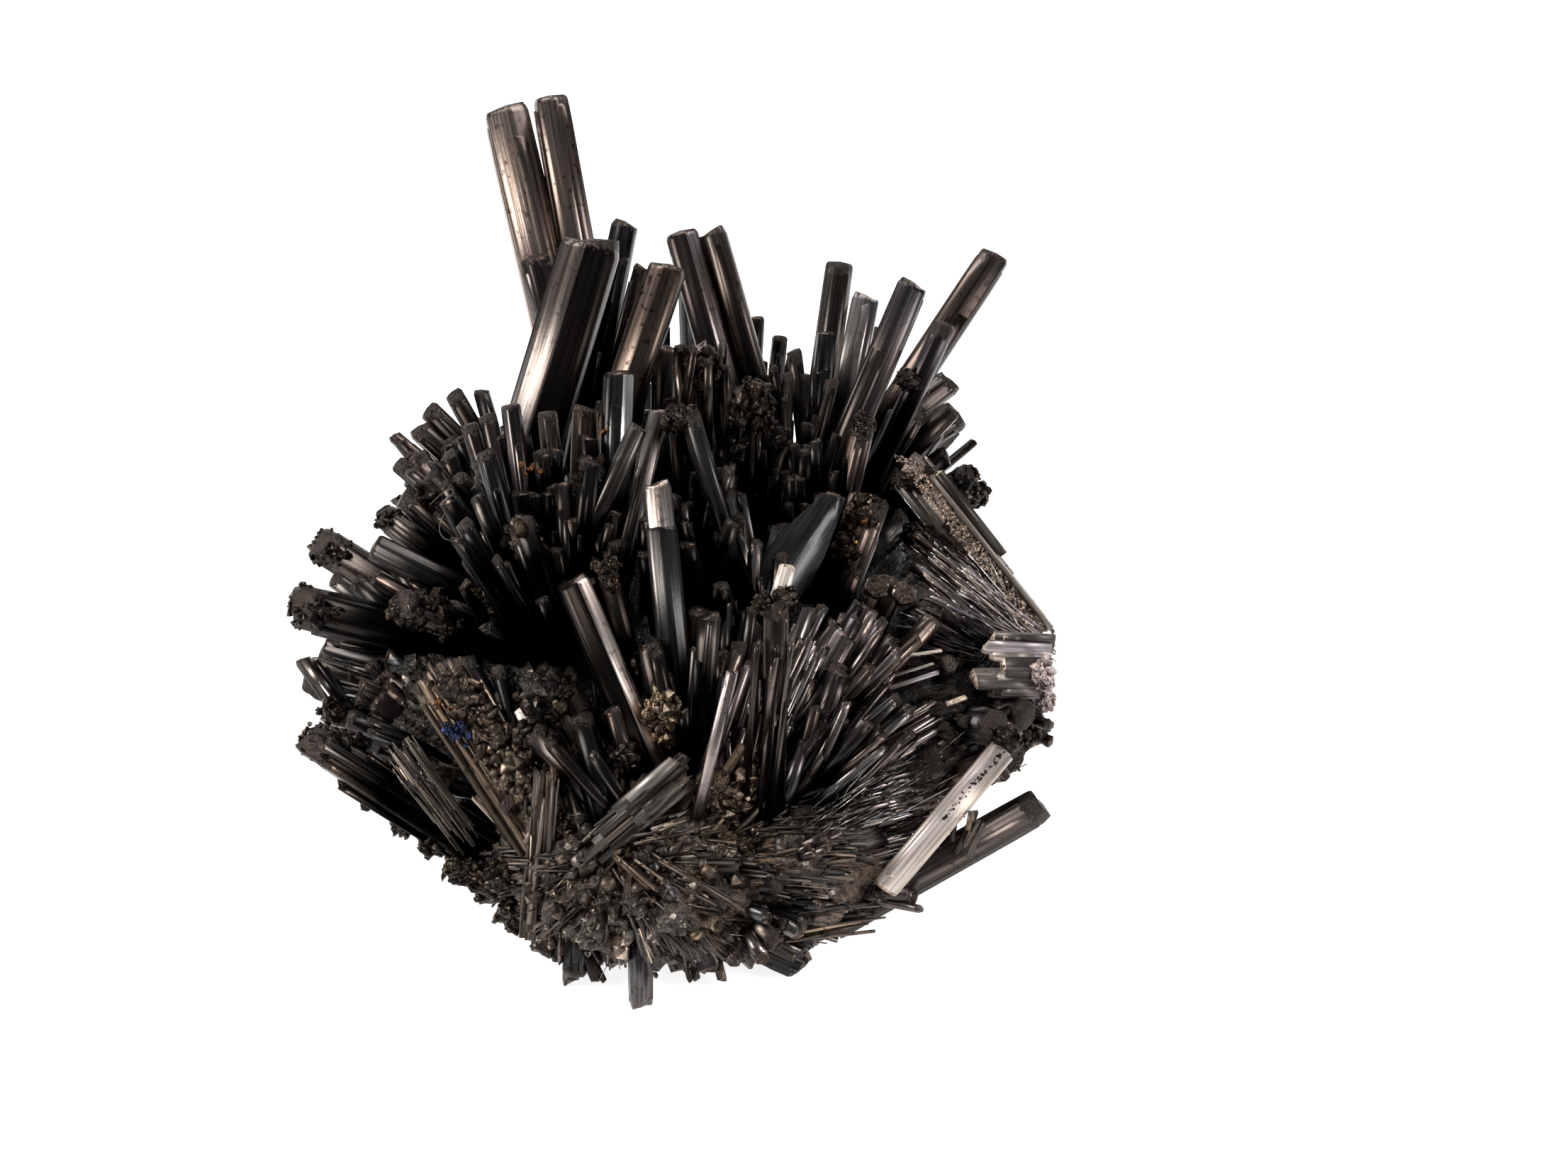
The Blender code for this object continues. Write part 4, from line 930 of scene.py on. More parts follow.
# Each bundle: tip, foot, width, thickness, how many laths, how wide they are, and of their look
# the brightness, the tarnish, the crust and how far they are lit.
FIBROUS_BLADES = (
    # The felted blades that point to the right.
    ((12.0, 8.2, 5.8), (1.8, 5.3, 4.6), 3.1, 1.5, 150, (0.10, 0.4), 3.0, 0.35, 0.0, 30),
    ((12.0, 10.1, 6.5), (3.0, 7.0, 5.5), 2.6, 1.4, 130, (0.10, 0.35), 2.7, 0.4, 0.0, 30),
    ((13.0, 9.0, 5.5), (7.5, 7.2, 4.4), 3.2, 1.3, 90, (0.15, 0.5), 0.8, 0.6, 0.0, 30),
    ((9.8, 6.0, 2.5), (1.5, 5.6, 3.5), 1.8, 1.2, 50, (0.2, 0.6), 0.9, 0.9, 0.0, 30),
    ((7.4, 4.7, 2.3), (1.0, 5.4, 3.5), 1.6, 1.2, 30, (0.25, 0.7), 0.8, 0.8, 0.0, 30),
    # Blocks at the foot, from left to right.
    ((-4.6, 2.3, 0.8), (-4.4, 5.2, 3.8), 1.9, 1.2, 16, (0.3, 0.7), 0.9, 0.6, 0.0, 30),
    ((1.7, 2.1, 0.9), (0.6, 5.5, 3.8), 2.0, 1.3, 16, (0.3, 0.8), 0.9, 0.6, 0.0, 30),
    ((6.8, 3.4, 1.1), (1.0, 5.6, 3.0), 2.4, 1.6, 30, (0.5, 1.3), 0.5, 0.1, 0.0, 30),
    ((4.4, 3.2, 1.2), (0.5, 6.0, 3.2), 1.6, 1.2, 16, (0.4, 0.9), 0.8, 0.6, 0.0, 30),
    # Neighbours of the long brown blade on the left.
    ((-9.6, 12.4, 10.2), (-3.9, 6.5, 3.2), 1.6, 1.3, 22, (0.2, 0.6), 0.9, 0.9, 0.2, 30),
    ((-17.3, 17.2, 11.0), (-10.5, 16.2, 10.0), 1.4, 1.0, 16, (0.3, 0.8), 0.8, 0.5, 0.3, 9),
    ((-17.0, 15.9, 9.0), (-9.5, 14.5, 7.5), 1.6, 1.0, 18, (0.3, 0.9), 0.8, 0.2, 0.0, 8),
    ((-18.5, 16.9, 10.0), (-15.0, 13.6, 6.2), 1.5, 0.6, 8, (0.5, 1.2), 0.8, 0.3, 0.0, 9),
    ((-17.6, 11.4, 8.0), (-9.0, 8.2, 3.6), 2.0, 1.5, 16, (0.3, 0.8), 0.7, 0.5, 0.4, 4),
    ((-13.0, 9.6, 5.4), (-6.0, 7.0, 2.4), 2.2, 1.2, 30, (0.2, 0.6), 1.0, 0.4, 0.0, 14),
    # Striated blades in the middle, right of the bright needle.
    ((6.9, 13.6, 13.2), (2.6, 7.8, 6.0), 2.0, 1.2, 46, (0.15, 0.6), 3.2, 0.5, 0.1, 12),
    ((10.5, 14.2, 11.6), (4.4, 9.2, 5.8), 2.4, 1.2, 46, (0.15, 0.6), 3.2, 0.5, 0.1, 12),
    ((13.4, 12.6, 9.2), (5.5, 9.3, 5.9), 2.2, 1.2, 46, (0.15, 0.7), 3.0, 0.5, 0.1, 12),
    # The ragged head of the thick broken crystal and the one behind it.
    ((1.5, 25.6, 22.6), (1.5, 22.0, 17.0), 2.3, 1.8, 34, (0.35, 0.9), 0.5, 0.9, 0.3, 7),
    ((3.9, 25.4, 19.9), (3.6, 22.4, 15.0), 1.9, 1.5, 26, (0.3, 0.7), 0.6, 0.8, 0.3, 5),
    # Laths that fan out of the right corner, below the slab.
    ((12.6, 19.9, 13.2), (18.8, 17.8, 8.6), 2.0, 0.9, 90, (0.06, 0.22), 6.0, 0.4, 0.0, 30),
    ((12.3, 18.2, 11.6), (18.8, 17.3, 8.4), 1.8, 0.9, 80, (0.06, 0.22), 5.0, 0.4, 0.0, 30),
    ((13.0, 17.0, 10.2), (18.8, 16.8, 8.0), 1.3, 0.9, 50, (0.07, 0.22), 4.0, 0.4, 0.0, 30),
    # Blades behind the slab and in front of the near knob.
    ((12.0, 20.8, 14.2), (17.0, 20.4, 9.6), 1.8, 1.0, 60, (0.10, 0.45), 1.6, 0.6, 0.0, 30),
    ((5.2, 7.7, 17.6), (4.2, 6.9, 7.0), 1.7, 0.9, 40, (0.12, 0.45), 1.3, 0.5, 0.0, 11),
)
for *blade, tone, tarnish, crust, shown in FIBROUS_BLADES:
    bundle(laths, *blade, Look(tone, tarnish, crust, shown=shown), rng)
set_down("fibrous_blades", laths, stibnite)

# Faces in a satin finish whose pale colour is a painted highlight, dimmer where their tone is low: a
# plate behind the near knob, slips at the right, corners of the broken lumps, the two blocks of the right
# edge and the matt skin of the slab above them.
flakes = new_heap()
for tip, base, width, thickness, look in (
        ((5.7, 16.0, 15.9), (5.1, 15.0, 14.0), 1.0, 0.4, Look(1.5, 0.0, 0.0, shown=60, turn=0.0)),
        ((13.3, 13.5, 11.1), (10.8, 13.2, 10.3), 0.26, 0.2, Look(1.5, 0.2, 0.0, shown=60)),
        ((13.0, 13.9, 11.3), (10.9, 13.5, 10.8), 0.16, 0.15, Look(1.2, 0.2, 0.0, shown=60)),
        ((13.4, 14.3, 11.8), (11.4, 14.1, 11.6), 0.18, 0.15, Look(1.2, 0.2, 0.0, shown=60)),
        ((14.6, 12.6, 10.2), (13.6, 12.4, 9.9), 0.3, 0.2, Look(1.3, 1.2, 0.0, shown=60)),
        ((-7.6, 9.9, 11.6), (-6.8, 9.2, 10.2), 0.7, 0.4, Look(1.6, 0.0, 0.0, shown=60, turn=0.0)),
        ((-2.7, 9.2, 11.2), (-2.0, 8.8, 10.0), 0.6, 0.5, Look(1.2, 0.6, 0.0, shown=60))):
    lay(flakes, pick(PLAIN_FORMS, rng), tip, base, width, thickness, look, rng, vary=0.2)
for *blade, tone, tarnish in (
        ((14.5, 15.4, 11.5), (18.8, 15.9, 10.8), 1.0, 0.6, 4, (1.0, 1.6), 0.23, -0.3),
        ((14.8, 14.3, 10.1), (18.7, 14.9, 9.5), 1.2, 0.6, 5, (1.0, 1.8), 0.27, 0.1),
        ((11.7, 24.5, 15.9), (18.4, 19.6, 9.0), 2.1, 1.2, 30, (0.3, 1.0), 0.17, 0.5)):
    bundle(flakes, *blade, Look(tone, tarnish, 0.0, shown=60), rng)
set_down("bright_flakes", flakes, satin_painted_sheen)

# ---------------------------------------------------------------- splintery root blades
# Bundles of duller, earthy laths that lie close on the root and point away from where it began,
# with angular rubble between them and brown crust on the long blade at the left.
earthy = crystal_finish("earthy_stibnite", (0.078, 0.071, 0.065, 1), (0.112, 0.080, 0.054, 1),
                        (0.055, 0.040, 0.034, 1), 0.38, 0.7)


def sliver_form(seed, sides, end):
    """A straight sliver with few faces, one unit wide and ten long, narrower at its end."""
    rng = np.random.default_rng(seed)
    form = bmesh.new()
    bmesh.ops.create_cone(form, cap_ends=True, segments=sides, radius1=0.5, radius2=end,
                          depth=FORM_LENGTH, matrix=Matrix.Translation((0, 0, FORM_LENGTH / 2)))
    for vert in form.verts:
        vert.co.x *= rng.uniform(0.7, 1.2)
    bmesh.ops.triangulate(form, faces=form.faces)
    return taken_from(form)


SPLINTER_FORMS = [sliver_form(10 + seed, 4, 0.44) for seed in range(6)]


def ball_form(subdivisions):
    """A ball of faces, one unit in radius."""
    form = bmesh.new()
    bmesh.ops.create_icosphere(form, subdivisions=subdivisions, radius=1.0)
    return taken_from(form)


GRAIN_BALL, COARSE_BALL, FINE_BALL = ball_form(1), ball_form(3), ball_form(4)


# Millimetres of crust that leave a grain bare.
NO_CRUST = -9.0


def scatter(heap, spot, size, tone, tarnish, rng):
    """One angular grain, turned and squeezed at random."""
    spots, corners = GRAIN_BALL
    turn, _ = np.linalg.qr(rng.normal(0.0, 1.0, (3, 3)))
    if np.linalg.det(turn) < 0:
        turn[:, 0] *= -1
    local = spots * rng.uniform(0.34, 0.6, (len(spots), 1)) * size * rng.uniform(0.35, 1.5, 3)
    pattern = local + rng.uniform(0.0, PATTERN_ROOM, 3)
    # Painted glints: each facet gets its own brightness, as if some caught the lamps.
    facets = tone * np.exp(rng.normal(-0.2, 0.8, len(corners)))
    pile(heap, spot + local @ turn, corners, pattern, NO_CRUST, 1.0, facets, tarnish, rng.random())


splinters = new_heap()
# Each bundle: tip, foot, width, thickness, how many laths, how wide, how bright, how tarnished.
ROOT_BLADES = (
    # Broad blades of the broken front.
    ((0.8, 8.6, 9.0), (-2.4, 5.0, 6.9), 1.8, 0.7, 12, (0.3, 0.9), 0.9, 0.3),
    ((3.9, 8.0, 10.2), (0.6, 5.2, 6.2), 1.6, 0.8, 12, (0.3, 0.8), 1.0, 1.1),
    ((-6.5, 8.4, 9.0), (-5.2, 5.0, 4.6), 1.5, 1.0, 12, (0.3, 0.8), 1.0, 0.9),
    ((-4.5, 5.0, 7.4), (-3.8, 4.0, 5.0), 1.1, 0.5, 4, (0.6, 1.0), 0.6, -0.6),
    ((-8.6, 6.6, 5.2), (-4.0, 5.0, 4.8), 1.8, 1.0, 14, (0.3, 0.8), 0.8, 0.8),
    ((-6.6, 4.4, 2.2), (-3.4, 4.6, 4.6), 1.8, 1.0, 14, (0.3, 0.8), 1.1, 0.6),
    ((0.4, 3.0, 2.4), (-1.6, 4.6, 5.2), 1.6, 0.8, 10, (0.3, 0.9), 1.0, 0.5),
    ((3.2, 3.6, 2.6), (-0.8, 4.8, 5.4), 1.8, 0.9, 12, (0.3, 0.9), 1.0, 0.8),
    ((5.6, 4.6, 3.2), (0.0, 5.0, 5.4), 2.0, 1.0, 14, (0.4, 1.0), 0.9, 0.6),
    ((-7.8, 7.9, 8.4), (-4.6, 4.8, 4.4), 1.4, 0.8, 14, (0.2, 0.6), 0.7, 0.9),
    ((-4.9, 7.6, 8.8), (-3.6, 4.4, 5.0), 1.6, 0.8, 14, (0.2, 0.7), 0.8, 0.7),
    ((-3.0, 7.4, 9.6), (-2.8, 4.4, 5.2), 1.5, 0.8, 14, (0.2, 0.7), 0.9, 0.9),
    ((-1.2, 7.2, 9.0), (-2.2, 4.4, 5.4), 1.4, 0.8, 14, (0.2, 0.6), 0.8, 0.6),
    ((2.2, 7.2, 9.2), (-1.2, 4.6, 5.2), 1.6, 0.8, 14, (0.2, 0.7), 0.9, 1.0),
    ((5.4, 7.6, 8.2), (0.4, 5.0, 5.0), 1.6, 0.8, 14, (0.2, 0.6), 0.8, 0.8),
    ((-9.6, 8.8, 7.2), (-5.2, 5.2, 4.2), 1.6, 0.9, 14, (0.2, 0.6), 0.7, 0.8),
    ((-11.9, 12.8, 12.0), (-4.4, 4.2, 3.8), 2.9, 1.6, 210, (0.10, 0.60), 0.75, 0.8),
    # The steep ridge of the front and the broad grey blade beside it.
    ((-6.2, 7.2, 9.9), (-6.8, 3.7, 2.4), 1.5, 1.0, 70, (0.10, 0.5), 0.65, 0.6),
    ((0.9, 7.2, 10.4), (-4.2, 4.3, 7.0), 1.4, 0.5, 30, (0.2, 0.9), 0.7, 0.1),
    # Silvery splinters low on the left.
    ((-13.8, 11.2, 8.3), (-10.2, 7.7, 4.8), 1.5, 0.8, 60, (0.05, 0.20), 1.8, 0.3),
    # Thick broken ends low at the front.
    ((7.2, 3.9, 1.7), (2.5, 5.0, 3.2), 2.0, 1.3, 7, (0.8, 1.5), 0.8, 0.4),
    ((1.9, 2.6, 1.2), (0.2, 5.0, 3.6), 1.3, 1.0, 6, (0.6, 1.2), 0.8, 0.4),
    ((14.9, 8.2, 6.9), (14.2, 7.2, 4.6), 0.9, 0.6, 7, (0.25, 0.6), 0.7, 0.6),
)
for *blade, tone, tarnish in ROOT_BLADES:
    bundle(splinters, *blade, Look(tone, tarnish, 0.0, shown=60), rng)
laid = 0
for index in rng.permutation(len(skin_spots)):
    spot, out = skin_spots[index], skin_out[index]
    # Painted shade: laths inside the spray are painted darker, and those off the middle of the front a
    # little darker.
    light = float(openness(spot))
    if spot[2] < 0.8 or (spot[1] > 11.0 and rng.random() < 0.8):
        continue
    if np.linalg.norm(spot - HEART) < 1.6 + rng.random():
        continue
    ray = unit(spot - HEART)
    along = unit(ray - out * (ray @ out) * 0.88 + rng.normal(0.0, 0.09, 3))
    length = rng.uniform(2.0, 5.5)
    base = spot - along * length * 0.6 - out * 0.4
    tip = spot + along * length * 0.4
    if min(tip[2], base[2]) < 0.5 or abs(tip[0]) > 18.0:
        continue
    light *= 0.8 if spot[0] < -3.0 or spot[0] > 3.0 else 1.05
    look = Look(light * math.exp(rng.normal(0.0, 0.45)), rng.uniform(0.0, 0.7), 0.0, 0.3, 0.3, 60.0)
    bundle(splinters, tip, base, rng.uniform(0.6, 1.6), rng.uniform(0.2, 0.5), 14,
           (0.07, 0.36), look, rng, SPLINTER_FORMS)
    laid += 1
    if laid == 330:
        break
# Angular rubble where the laths meet and between them.
laid = 0
for index in rng.permutation(len(skin_spots)):
    spot, out = skin_spots[index], skin_out[index]
    if spot[2] < 0.6 or spot[1] > 12.0 or rng.random() < np.linalg.norm(spot - HEART) / 9.0:
        continue
    # Painted shade: rubble inside the spray is painted darker.
    scatter(splinters, spot + out * rng.uniform(0.0, 0.2), rng.uniform(0.25, 1.0) ** 2,
            float(openness(spot)) * rng.uniform(0.4, 1.1), rng.uniform(0.0, 0.9), rng)
    laid += 1
    if laid == 330:
        break
# Brown crust grown over the right half of the long blade.
blade_end, blade_foot = np.array((-11.5, 11.6, 12.2)), np.array((-5.4, 4.6, 5.6))
for number in range(420):
    part = rng.random()
    spot = blade_end + (blade_foot - blade_end) * part + FACING * rng.uniform(-0.2, 0.35)
    spot = spot + np.array((0.8, 0.25, 0.33)) * rng.normal(0.55 + 0.4 * part, 0.5)
    scatter(splinters, spot, rng.uniform(0.2, 1.0), rng.uniform(0.3, 0.95), rng.uniform(0.6, 1.2), rng)
set_down("root_splinters", splinters, earthy)

# ---------------------------------------------------------------- fine needles
# Hair-thin needles: a fan of them along the right edge, a tangle at the centre right and more
# scattered between the crystals everywhere.
needle_finish = crystal_finish("bright_needles", (0.34, 0.34, 0.34, 1), (0.30, 0.25, 0.20, 1),
                               (0.10, 0.08, 0.06, 1), 0.16)


NEEDLE_FORMS = [sliver_form(seed, 3, 0.32) for seed in range(5)]
needles = new_heap()
rng = np.random.default_rng(23)
# Fans of needles: where they start, where they reach, how far the ends stray, how many, and how
# bright they are.
for start, reach, stray, count, bright in (
        ((18.6, 18.0, 8.6), (12.6, 20.2, 12.6), 1.4, 220, 2.6),
        ((18.6, 17.6, 8.2), (12.4, 17.8, 10.6), 1.4, 200, 2.2),
        ((16.5, 17.2, 8.4), (10.5, 17.0, 10.4), 1.2, 50, 0.5),
        ((5.0, 10.0, 6.0), (9.0, 13.5, 11.5), 1.8, 60, 0.5),
        ((3.0, 8.0, 5.5), (6.5, 11.5, 12.0), 1.5, 50, 0.5),
        ((3.5, 5.4, 5.0), (11.0, 8.2, 7.6), 1.3, 200, 1.0),
        ((7.0, 7.0, 6.0), (12.0, 10.5, 8.0), 1.3, 120, 1.0),
        ((-3.0, 6.0, 4.5), (-9.5, 10.5, 9.5), 1.5, 40, 0.4),
        ((-11.5, 9.0, 4.0), (-14.0, 11.0, 7.5), 0.9, 90, 2.2)):
    for number in range(count):
        end = np.array(reach) + rng.normal(0.0, stray, 3)
        foot = np.array(start) + rng.normal(0.0, stray * 0.35, 3)
        part = rng.uniform(0.1, 0.7)
        stop = part + rng.uniform(0.12, 0.35)
        width = rng.uniform(0.05, 0.12)
        look = Look(bright * rng.uniform(0.2, 1.2) ** 2, rng.uniform(0.0, 0.9), 0.0, shown=40.0)
        first, last = foot + (end - foot) * part, foot + (end - foot) * min(stop, 1.0)
        if min(first[2], last[2]) < 0.3 or max(abs(first[0]), abs(last[0])) > 19.0:
            continue
        lay(needles, pick(NEEDLE_FORMS, rng), last, first, width, width * 0.8, look, rng)
# Stray needles close over the root.
for index in rng.permutation(len(skin_spots))[:500]:
    spot, out = skin_spots[index], skin_out[index]
    lean = unit(rng.normal(0.0, 0.7, 3) + unit(spot - FOCUS) + out * 0.2)
    first = spot + out * rng.uniform(-0.2, 0.4)
    last = first + lean * rng.uniform(0.5, 1.6)
    if first[2] < 1.5 or last[2] < 1.5 or abs(last[0]) > 18.8:
        continue
    width = rng.uniform(0.04, 0.10)
    # Painted shade: needles inside the spray are painted darker.
    look = Look(float(openness(spot)) * rng.uniform(0.1, 0.9), rng.uniform(0.0, 1.0), 0.0, shown=40.0)
    lay(needles, pick(NEEDLE_FORMS, rng), last, first, width, width * 0.8, look, rng)
set_down("fine_needles", needles, needle_finish)

# ---------------------------------------------------------------- crusty lumps
# Rough grown-over lumps: brown-black granular ends of broken crystals, golden weathered pieces in
# front of the middle, and a whitish crust at the right edge.
crust_finish, tree, shader = new_finish("granular_crust")
where = attribute(tree, "grown", "Vector")
tone, tarnish, _ = face_values(tree)
grain = speckle(tree, where, 7.0, 4.0)
tint = mixed(tree, between(tree, tarnish, 0.0, 1.0), (0.034, 0.028, 0.027, 1),
             (0.082, 0.058, 0.036, 1))
shade = reckon(tree, "MULTIPLY", reckon(tree, "MINIMUM", tone, 18.0),
               between(tree, grain, 0.35, 0.6, 0.35, 1.3))
tree.links.new(scaled(tree, tint, shade), shader.inputs["Base Color"])
tree.links.new(between(tree, grain, 0.3, 0.7, 0.42, 0.2), shader.inputs["Roughness"])
# The palest crust is not metallic.
tree.links.new(between(tree, tone, 6.0, 8.0, 0.95, 0.0), shader.inputs["Metallic"])
tree.links.new(node(tree, "Bump", {"Height": grain, "Distance": 0.00015}).outputs[0],
               shader.inputs["Normal"])


def add_lump(heap, middle, radii, tone, tarnish, rng):
    """A lump with an uneven, angular, granular skin."""
    spots, corners = FINE_BALL if max(radii) > 1.15 else COARSE_BALL
    shift = Vector(rng.uniform(0.0, 100.0, 3))
    rough = np.array([
        0.34 * noise.noise(Vector(spot) * 1.4 + shift)
        + 0.22 * noise.noise(Vector(spot) * 3.2 + shift)
        + 0.07 * (noise.cell(Vector(spot) * 3.7 + shift) - 0.5)
        + 0.06 * noise.noise(Vector(spot) * 9.0 + shift) for spot in spots])
    local = spots * (0.85 + rough)[:, None] * radii
    pattern = local + rng.uniform(0.0, PATTERN_ROOM, 3)
    # Painted glints: each face of the lump gets its own brightness.
    sparkle = tone * np.exp(rng.normal(-0.3, 0.9, len(corners)))
    pile(heap, np.array(middle) + local, corners, pattern, 0.0, 1.0, sparkle, tarnish,
         rng.random(len(corners)))
    for number in range(int(26 + 34 * np.prod(radii) ** 0.67)):
        out = unit(rng.normal(0.0, 1.0, 3))
        scatter(heap, middle + out * radii * rng.uniform(0.65, 1.0),
                np.mean(radii) * rng.uniform(0.25, 0.8), tone * math.exp(rng.normal(-0.1, 0.5)),
                tarnish + rng.uniform(-0.3, 0.3), rng)


rng = np.random.default_rng(64)
crusty = new_heap()
# Each lump: middle, radii, brightness and tarnish.
CRUSTY_LUMPS = (
    # The big broken lump of the middle and its neighbours.
    ((1.4, 24.9, 21.1), (1.2, 0.9, 1.5), 0.7, 0.35), ((2.2, 24.3, 19.2), (1.2, 0.9, 1.1), 0.6, 0.3),
    ((3.8, 25.0, 19.2), (1.1, 1.0, 1.4), 0.7, 0.45), ((2.8, 23.6, 17.6), (1.0, 0.9, 0.8), 0.6, 0.1),
    ((4.9, 24.0, 18.0), (0.7, 0.7, 0.9), 0.5, 0.2), ((0.3, 21.1, 21.1), (0.9, 0.7, 0.8), 0.8, 0.3),
    ((9.5, 24.3, 18.5), (0.6, 0.6, 0.6), 0.8, 0.2),
    ((11.9, 28.9, 18.0), (0.75, 0.6, 0.6), 0.6, 0.1),
    ((9.4, 21.0, 15.0), (0.9, 0.8, 1.5), 0.9, 0.6), ((8.6, 20.0, 13.8), (0.8, 0.8, 0.9), 0.6, 0.8),
    ((-4.2, 19.6, 18.0), (0.75, 0.7, 1.8), 0.6, 0.3),
    ((-7.6, 17.0, 16.5), (0.85, 0.7, 1.7), 0.9, 0.4),
    ((-6.6, 17.4, 15.4), (0.7, 0.7, 0.8), 0.9, 0.9),
    ((-8.8, 15.6, 14.2), (0.8, 0.7, 0.8), 0.6, 0.6),
    # The granular ends on the left and right.
    ((-12.8, 16.3, 12.8), (1.7, 1.0, 1.0), 0.9, 0.2),
    ((-11.3, 15.8, 12.2), (1.0, 0.7, 0.6), 0.8, 0.3),
    ((-17.2, 21.4, 12.6), (1.0, 0.7, 0.7), 0.8, 0.1),
    ((-17.6, 17.3, 12.0), (1.2, 0.9, 0.9), 0.6, 0.1),
    ((-17.1, 11.3, 8.2), (1.1, 0.7, 0.7), 0.8, 0.2),
    ((-16.0, 11.7, 7.9), (0.9, 0.6, 0.6), 0.7, 0.2),
    ((-14.6, 24.0, 12.8), (0.8, 0.7, 0.7), 0.6, 0.2),
    ((-12.3, 24.3, 14.2), (0.9, 0.8, 0.7), 0.6, 0.2),
    ((-17.0, 13.9, 8.2), (0.9, 0.7, 0.8), 0.7, 0.2),
    ((14.4, 27.6, 11.9), (1.1, 0.9, 1.0), 0.7, 0.15),
    ((15.2, 28.0, 11.4), (0.8, 0.8, 0.8), 0.8, 0.3), ((18.0, 15.3, 6.0), (1.1, 0.9, 0.8), 0.8, 0.3),
    ((17.2, 14.2, 6.4), (0.7, 0.7, 0.6), 0.7, 0.2),
    ((12.1, 24.0, 15.3), (1.3, 0.9, 0.8), 0.9, 0.25),
    ((14.0, 22.7, 13.4), (1.0, 0.7, 0.6), 0.9, 0.3),
    ((16.0, 21.2, 11.2), (0.9, 0.7, 0.6), 0.9, 0.3),
    # The ragged edge low on the left.
    ((-14.8, 10.6, 5.6), (0.9, 0.9, 0.8), 0.5, 0.1), ((-13.4, 9.6, 4.6), (0.9, 0.8, 0.8), 0.5, 0.1),
    ((-12.0, 8.8, 4.0), (0.9, 0.8, 0.8), 0.5, 0.2), ((-10.6, 7.9, 3.2), (0.9, 0.8, 0.9), 0.6, 0.2),
    ((-9.2, 6.8, 2.6), (0.9, 0.8, 0.9), 0.7, 0.4), ((-9.0, 6.2, 3.7), (1.2, 0.8, 0.9), 0.7, 0.4),
    ((-8.0, 5.6, 2.0), (0.9, 0.8, 0.9), 0.8, 0.4), ((-10.2, 6.3, 4.1), (1.3, 0.7, 0.7), 0.7, 0.3),
    ((-8.4, 5.8, 4.4), (1.1, 0.7, 0.7), 0.8, 0.4),
    # Golden and grey lumps in front of the middle.
    ((-1.2, 12.1, 13.0), (0.8, 0.7, 1.0), 2.6, 0.7), ((-0.6, 9.8, 10.9), (1.1, 0.9, 1.8), 2.6, 0.7),
    ((-6.1, 10.0, 12.4), (1.7, 1.1, 1.4), 0.8, 0.2), ((-4.8, 9.6, 11.0), (1.1, 0.9, 1.0), 0.9, 0.2),
    ((-7.0, 9.4, 10.2), (1.1, 0.9, 1.0), 1.0, 0.2), ((-2.4, 8.4, 9.8), (0.9, 0.8, 0.9), 1.8, 0.1),
    ((2.2, 7.0, 8.2), (1.7, 1.0, 1.6), 1.7, 0.5), ((3.8, 7.5, 8.4), (0.8, 0.7, 2.3), 2.2, 0.7),
    ((-6.3, 7.4, 6.4), (0.7, 0.8, 2.6), 0.9, 0.5), ((0.5, 6.0, 6.6), (1.3, 1.0, 1.2), 0.9, 0.6),
    ((-3.4, 6.3, 6.4), (1.2, 0.9, 1.3), 0.9, 0.5), ((-2.4, 4.8, 6.0), (1.4, 0.7, 1.2), 0.8, 0.4),
    ((3.4, 5.6, 6.0), (1.2, 0.9, 1.1), 0.9, 0.6),
    # The knobs that stand nearest, and small cubes.
    ((4.5, 7.9, 19.6), (0.62, 0.55, 0.55), 0.7, 0.4),
    ((5.6, 7.9, 20.0), (0.6, 0.55, 0.6), 0.7, 0.4),
    ((-3.6, 14.7, 16.7), (0.45, 0.4, 0.4), 0.8, 0.5),
    ((-3.0, 14.7, 16.8), (0.4, 0.4, 0.4), 0.8, 0.5),
    ((-3.1, 14.3, 16.0), (0.45, 0.4, 0.4), 0.8, 0.5),
    ((-9.9, 15.4, 14.6), (0.5, 0.4, 0.4), 0.8, 0.6),
    ((-9.2, 15.4, 14.8), (0.4, 0.4, 0.4), 0.8, 0.6),
    # The blocks of the right edge and its whitish crust.
    ((16.5, 10.9, 8.8), (0.9, 0.7, 0.7), 0.6, 0.3), ((12.4, 21.5, 13.5), (1.0, 0.7, 0.8), 0.5, 0.3),
    ((18.5, 14.3, 10.2), (0.6, 0.6, 1.1), 17.0, 0.0),
    ((18.6, 14.4, 8.6), (0.5, 0.5, 0.8), 15.0, 0.0), ((-6.4, 4.1, 1.8), (0.7, 0.7, 1.0), 6.0, 0.2),
)
for middle, radii, tone, tarnish in CRUSTY_LUMPS:
    add_lump(crusty, middle, radii, tone, tarnish, rng)
set_down("crusty_lumps", crusty, crust_finish)

# ---------------------------------------------------------------- granular crust
# Brown-black grains grown on the ends of the crusted crystals and on the slab, and glinting
# broken grains of stibnite on the root.
rng = np.random.default_rng(5)
caps = new_heap()
for tip, along, width, thickness, look in tips:
    if look.crust < 0.9 or look.shown > 20.0:
        continue
    across, outward = axes(along)
    for number in range(int(10 + 9 * width * thickness * min(look.crust, 1.6))):
        angle = rng.uniform(0.0, math.tau)
        if rng.random() < 0.4:
            radius, down = math.sqrt(rng.random()) * 0.36, rng.uniform(0.0, 0.1)
        else:
            radius, down = 0.43, 0.14 * width + abs(rng.normal(0.0, look.crust * 0.35))
        spot = tip - along * down
        spot = spot + across * math.cos(angle) * width * radius
        spot = spot + outward * math.sin(angle) * thickness * radius
        scatter(caps, spot, (0.14 + 0.07 * width) * rng.uniform(0.5, 1.4),
                0.9 * math.exp(rng.normal(0.0, 0.4)), rng.uniform(0.0, 0.6), rng)
